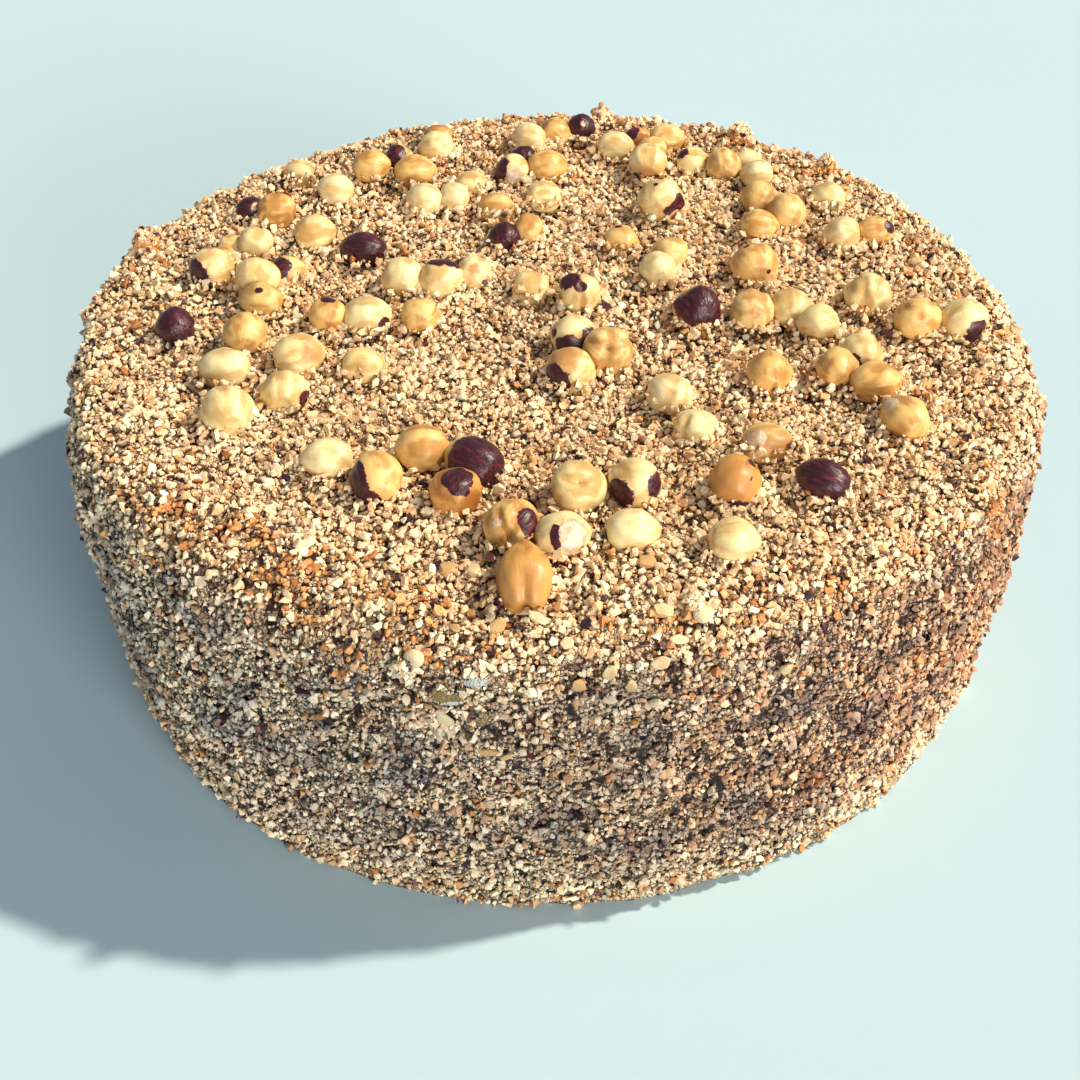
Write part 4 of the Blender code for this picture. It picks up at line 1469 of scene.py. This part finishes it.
@dataclass(frozen=True)
class CrumbMix:
    """How the kinds are mixed: each one's share of the crumbs, and where there is more of it."""

    clump_size: float = 7 * MM
    rim_radius: float = 128 * MM
    rim_breadth: float = 12 * MM
    rim_level: float = 78 * MM
    toast_share: float = 0.035
    toast_and_grazing_light_rim: float = 0.30
    toast_gap: float = 0.1
    toast_painted_bounce_foot: float = 0.20
    toast_run: float = 9 * MM
    toast_gathered: float = 0.75
    skin_share: float = 0.018
    skin_clumps: float = 0.03
    white_share: float = 0.10
    white_painted_bounce_foot: float = 0.40
    white_run: float = 18 * MM
    golden_share: float = 0.20
    golden_clumps: float = 0.25
    golden_sunlit_sides: Pair = (0.10, 0.32)
    side_reach: float = 120 * MM
    neighbour_size: float = 2.6 * MM
    neighbour_share: float = 0.62
    chance_share: float = 0.38
    dull_size: float = 4 * MM
    dull_stray: float = 0.3
    dull_share: float = 0.36
    painted_shade_left: float = 1.3
    tan_share: float = 0.35

    def choose(self, places: np.ndarray, top: np.ndarray, rng: np.random.Generator) -> np.ndarray:
        """Choose a kind for each crumb, with more toasted ones at the shoulder and in streaks below it,
        partly as painted warm light where the lamp grazes.

        Args:
            places: the places.
            top: which of them lie on the top.
            rng: the draws.

        Returns:
            The number of each crumb's kind.
        """
        names = list(KINDS)
        count = len(places)
        radius = np.hypot(places[:, 0], places[:, 1])
        rim = np.exp(-(((radius - self.rim_radius) / self.rim_breadth) ** 2))
        rim *= places[:, 2] > self.rim_level
        clumps = swells(places, self.clump_size)
        # toasted crumbs: a few everywhere, and clumps at the shoulder that are partly painted warm grazing
        # light
        toast = self.toast_share + self.toast_and_grazing_light_rim * rim * np.clip(clumps * 2 - self.toast_gap, 0, 1)
        # painted bounce light: more toasted crumbs at the foot stand for warm light thrown up from below
        toast += self.toast_painted_bounce_foot * lowness(places, self.toast_run)
        for angle, height, reach in TOASTED_AND_SUNLIT_PLACES:
            away = np.linalg.norm(places - np.array(coat_place(angle, height)[0]), axis=1)
            toast += self.toast_gathered * np.exp(-((away / (reach * MM)) ** 2))
        skins = self.skin_share + self.skin_clumps * np.clip(-clumps, 0, 1)
        # white crumbs: some everywhere, and more at the foot as painted bounce light
        white = self.white_share + self.white_painted_bounce_foot * lowness(places, self.white_run)
        right = np.clip(0.5 + 0.5 * places[:, 0] / self.side_reach, 0, 1)
        # golden crumbs: some in random clumps, and more on the lit right as painted warm light
        golden = self.golden_share + self.golden_clumps * clumps + np.where(top, *self.golden_sunlit_sides) * right
        near = evened(swells(places, self.neighbour_size))
        draw = evened(self.neighbour_share * near + self.chance_share * rng.random(count))
        kinds = np.where(top, names.index("top_cream"), names.index("wall_cream"))
        dull = evened(swells(places, self.dull_size) + self.dull_stray * rng.random(count))
        # painted shade: more dull crumbs on the shaded left of the wall
        kinds[~top & (dull < self.dull_share * (self.painted_shade_left - right))] = names.index("wall_shaded_dull")
        kinds[top & (dull < self.tan_share)] = names.index("top_tan")
        goldens = np.where(top, names.index("top_golden"), names.index("wall_golden"))
        kinds = np.where(draw < toast + skins + white + golden, goldens, kinds)
        for limit, name in ((toast + skins + white, "white"), (toast + skins, "skin"), (toast, "toasted")):
            kinds[draw < limit] = names.index(name)
        return kinds


@dataclass
class CrumbCoat:
    """The coat's loose crumbs, coarse to fine bits mixed, set on the core and heaped at the nuts."""

    core: CoatCore
    nuts: Hazelnuts
    seed: int = 5
    site_share: float = 0.98
    thin_share: float = 0.85
    lowest: float = 0.3 * MM
    worn_gain: float = 1.3
    bit_reach: float = 0.36
    stacked_share: float = 0.36
    stacked_height: float = 0.5 * MM
    sideways: float = 0.45 * MM
    top_slope: float = 0.55
    top_shares: Pair = (0.15, 0.42)
    wall_shares: Pair = (0.05, 0.36)
    size_limits: Pair = (0.6 * MM, 2.7 * MM)
    lifts: Pair = (0.0, 0.55)
    full_rise: float = 0.95 * MM
    least_rise: float = 0.3
    tone_size: float = 2.0 * MM
    chip_angle_deg: float = 52.0
    mix: CrumbMix = CrumbMix()

    def core_sites(self, rng: np.random.Generator) -> tuple[np.ndarray, np.ndarray]:
        """Take the core's points as places for crumbs, moved sideways at random and fewer in thin patches.

        Args:
            rng: the draws.

        Returns:
            The places and the outward directions.
        """
        places, normals = self.core.places, self.core.normals
        again = rng.random(len(places)) < self.stacked_share
        places = np.concatenate([places, places[again] + normals[again] * self.stacked_height])
        normals = np.concatenate([normals, normals[again]])
        drift = rng.normal(size=(len(places), 3)) * self.sideways
        drift -= normals * (drift * normals).sum(axis=1, keepdims=True)
        places = places + drift
        full = np.array([FULLNESS.at(Vector(place)) for place in places])
        worn = np.array([thinness(Vector(place))[0] for place in places])
        kept = rng.random(len(places)) < self.site_share - self.thin_share * (1 - full)
        kept &= places[:, 2] > self.lowest
        kept &= rng.random(len(places)) > self.worn_gain * worn
        for bit in BITS:
            away = np.linalg.norm(places - np.array(coat_place(bit.angle, bit.height)[0]), axis=1)
            kept &= away > self.bit_reach * bit.length * MM
        for kernel in (kernel for group in NUT_GROUPS for kernel in group):
            sunk_at = 0.5 * kernel.wide * math.sqrt(max(0.0, 1 - (1 - 2 * kernel.sunk) ** 2))
            inside = np.hypot(places[:, 0] - kernel.at.x, places[:, 1] - kernel.at.y) < sunk_at
            kept &= ~(inside & (places[:, 2] > BELLY_HEIGHT))
        return places[kept], normals[kept]

    def stamp(self, grain: Grain, feet: np.ndarray, normals: np.ndarray, heights: np.ndarray,
              sizes: np.ndarray, rng: np.random.Generator) -> tuple[np.ndarray, ...]:
        """Set bits of one grain at their places.

        Args:
            grain: the grain.
            feet: the places on the core under the bits.
            normals: the outward directions there.
            heights: the heights of the bits' centres over the core.
            sizes: the bits' sizes.
            rng: the draws.

        Returns:
            The points, the triangles, and each point's tone and rise, which sets its painted shade.
        """
        chips = grain.chips(random.Random(grain.build.value))
        chosen = rng.integers(len(chips), size=len(feet))
        turns = random_turns(len(feet), rng)
        tones = 0.5 * rng.random(len(feet)) + np.clip(0.25 + 0.5 * swells(feet, self.tone_size), 0, 0.5)
        all_points, all_faces, all_tones, all_rises, start = [], [], [], [], 0
        for number, (points, faces) in enumerate(chips):
            mine = np.flatnonzero(chosen == number)
            moved = np.einsum("nij,pj->npi", turns[mine], points) * sizes[mine, None, None]
            above = np.einsum("npi,ni->np", moved, normals[mine])
            # painted shade: the rise is low on each bit's lower half and where it sits near the core
            open_air = (above + heights[mine, None]) / self.full_rise + self.least_rise
            rises = (0.5 + above / sizes[mine, None]) * np.clip(open_air, 0, 1)
            moved += (feet[mine] + normals[mine] * heights[mine, None])[:, None, :]
            moved[:, :, 2] -= np.minimum(moved[:, :, 2].min(axis=1, initial=0.0), 0.0)[:, None]
            offsets = start + np.arange(len(mine)) * len(points)
            all_points.append(moved.reshape(-1, 3))
            all_faces.append((faces[None] + offsets[:, None, None]).reshape(-1, 3))
            all_tones.append(np.repeat(tones[mine], len(points)))
            all_rises.append(rises.ravel())
            start += len(mine) * len(points)
        return tuple(np.concatenate(part) for part in (all_points, all_faces, all_tones, all_rises))

    def build(self) -> None:
        """Build and dress every kind of crumb."""
        rng = np.random.default_rng(self.seed)
        places, normals = self.core_sites(rng)
        heaped = np.array([(*place, *normal) for place, normal in self.nuts.sites])
        places = np.concatenate([places, heaped[:, :3]])
        normals = np.concatenate([normals, heaped[:, 3:]])
        top = normals[:, 2] > self.top_slope
        kinds = self.mix.choose(places, top, rng)
        limits = np.where(top[:, None], np.cumsum(self.top_shares), np.cumsum(self.wall_shares))
        which = (rng.random(len(places))[:, None] > limits).sum(axis=1)
        for number, (name, kind) in enumerate(KINDS.items()):
            stamped, start = [], 0
            for step, grain in enumerate(kind.grains):
                mine = (kinds == number) & (which == step)
                sizes = grain.middle * np.exp(rng.normal(size=mine.sum()) * grain.spread)
                sizes = np.clip(sizes, *self.size_limits)
                heights = sizes * rng.uniform(*self.lifts, mine.sum())
                points, faces, tones, rises = self.stamp(grain, places[mine], normals[mine], heights, sizes,
                                                         rng)
                stamped.append((points, faces + start, tones, rises))
                start += len(points)
            points, faces, tones, rises = (np.concatenate(part) for part in zip(*stamped))
            mesh = bpy.data.meshes.new(f"{name}_crumbs")
            mesh.from_pydata(points, [], faces)
            add_attribute(mesh, "tone", tones)
            add_attribute(mesh, "rise", rises)
            mesh.shade_smooth()
            mesh.set_sharp_from_angle(angle=math.radians(self.chip_angle_deg))
            show(mesh, kind.finish.material())


def random_turns(count: int, rng: np.random.Generator) -> np.ndarray:
    """Draw turns in space.

    Args:
        count: how many.
        rng: the draws.

    Returns:
        One 3 by 3 matrix each.
    """
    w, x, y, z = rng.normal(size=(count, 4)).T
    length = np.sqrt(w * w + x * x + y * y + z * z)
    w, x, y, z = w / length, x / length, y / length, z / length
    rows = [[1 - 2 * (y * y + z * z), 2 * (x * y - z * w), 2 * (x * z + y * w)],
            [2 * (x * y + z * w), 1 - 2 * (x * x + z * z), 2 * (y * z - x * w)],
            [2 * (x * z - y * w), 2 * (y * z + x * w), 1 - 2 * (x * x + y * y)]]
    return np.array(rows).transpose(2, 0, 1)


@dataclass(frozen=True)
class Lamp:
    """A distant lamp, which shines from an azimuth (0 is the right and 90 the back) and a height."""

    name: str
    colour: Colour
    strength: float
    azimuth_deg: float
    height_deg: float
    softness_deg: float

    def hang(self) -> None:
        """Add the lamp to the scene."""
        sun = bpy.data.lights.new(self.name, "SUN")
        sun.energy = self.strength
        sun.color = self.colour
        sun.angle = math.radians(self.softness_deg)
        lamp = bpy.data.objects.new(self.name, sun)
        around = math.radians(self.azimuth_deg)
        up = math.radians(self.height_deg)
        way = Vector((math.cos(up) * math.cos(around), math.cos(up) * math.sin(around), math.sin(up)))
        lamp.rotation_euler = way.to_track_quat("Z", "Y").to_euler()
        bpy.context.scene.collection.objects.link(lamp)


@dataclass
class Studio:
    """The pale floor, the lights and the camera."""

    floor_size: float = 3.0
    floor_squares: int = 8
    floor_colour: Colour = (0.47, 0.64, 0.70)
    floor_shade: float = 0.985
    floor_swell: float = 6.0
    floor_roughness: float = 0.9
    nearest: float = 0.01
    sky_colour: Colour = (0.82, 0.88, 1.0)
    sky_strength: float = 0.34
    lamps: tuple[Lamp, ...] = (
        Lamp("key", (1.0, 0.88, 0.72), 4.15, 8.0, 47.0, 3.0),
        Lamp("fill", (1.0, 0.94, 0.90), 3.3, -60.0, 13.0, 30.0),
    )

    def floor(self) -> None:
        """Lay the floor."""
        bm = bmesh.new()
        bmesh.ops.create_grid(bm, x_segments=self.floor_squares, y_segments=self.floor_squares,
                              size=self.floor_size)
        mesh = bpy.data.meshes.new("floor")
        bm.to_mesh(mesh)
        bm.free()
        material, wiring, shader = new_material("pale_floor")
        grain = wiring.noise(wiring.place(), self.floor_swell)["Fac"]
        deep = rgba(tuple(self.floor_shade * part for part in self.floor_colour))
        colour = wiring.blend(grain, rgba(self.floor_colour), deep)
        wiring.feed(shader, {"Base Color": colour, "Roughness": self.floor_roughness})
        mesh.materials.append(material)
        floor = bpy.data.objects.new("floor", mesh)
        bpy.context.scene.collection.objects.link(floor)

    def lights(self) -> None:
        """Hang the lamps under a cool soft sky."""
        for lamp in self.lamps:
            lamp.hang()
        world = bpy.data.worlds.new("sky")
        world.use_nodes = True
        background = world.node_tree.nodes["Background"]
        background.inputs["Color"].default_value = rgba(self.sky_colour)
        background.inputs["Strength"].default_value = self.sky_strength
        bpy.context.scene.world = world

    def camera(self) -> None:
        """Set up the camera at the photograph's viewing angle."""
        lens = bpy.data.cameras.new("camera")
        lens.lens = LENS
        lens.sensor_width = SENSOR
        lens.clip_start = self.nearest
        camera = bpy.data.objects.new("camera", lens)
        turn = Matrix.Rotation(math.radians(-YAW_DEG), 4, "Z")
        turn = turn @ Matrix.Rotation(math.radians(90 - PITCH_DEG), 4, "X")
        camera.matrix_world = Matrix.Translation(EYE) @ turn @ Matrix.Rotation(math.radians(ROLL_DEG), 4, "Z")
        bpy.context.scene.collection.objects.link(camera)
        bpy.context.scene.camera = camera

    def build(self) -> None:
        """Set up the whole studio."""
        self.floor()
        self.lights()
        self.camera()
        view = bpy.context.scene.view_settings
        view.view_transform = "Standard"
        view.look = "None"


def main() -> None:
    """Build every piece in order."""
    logging.basicConfig(level=logging.INFO, format="%(name)s %(message)s")
    Studio().build()
    nuts = Hazelnuts()
    nuts.build()
    core = CoatCore()
    core.build()
    LargerBits().build()
    CrumbCoat(core, nuts).build()


if __name__ == "__main__":
    main()
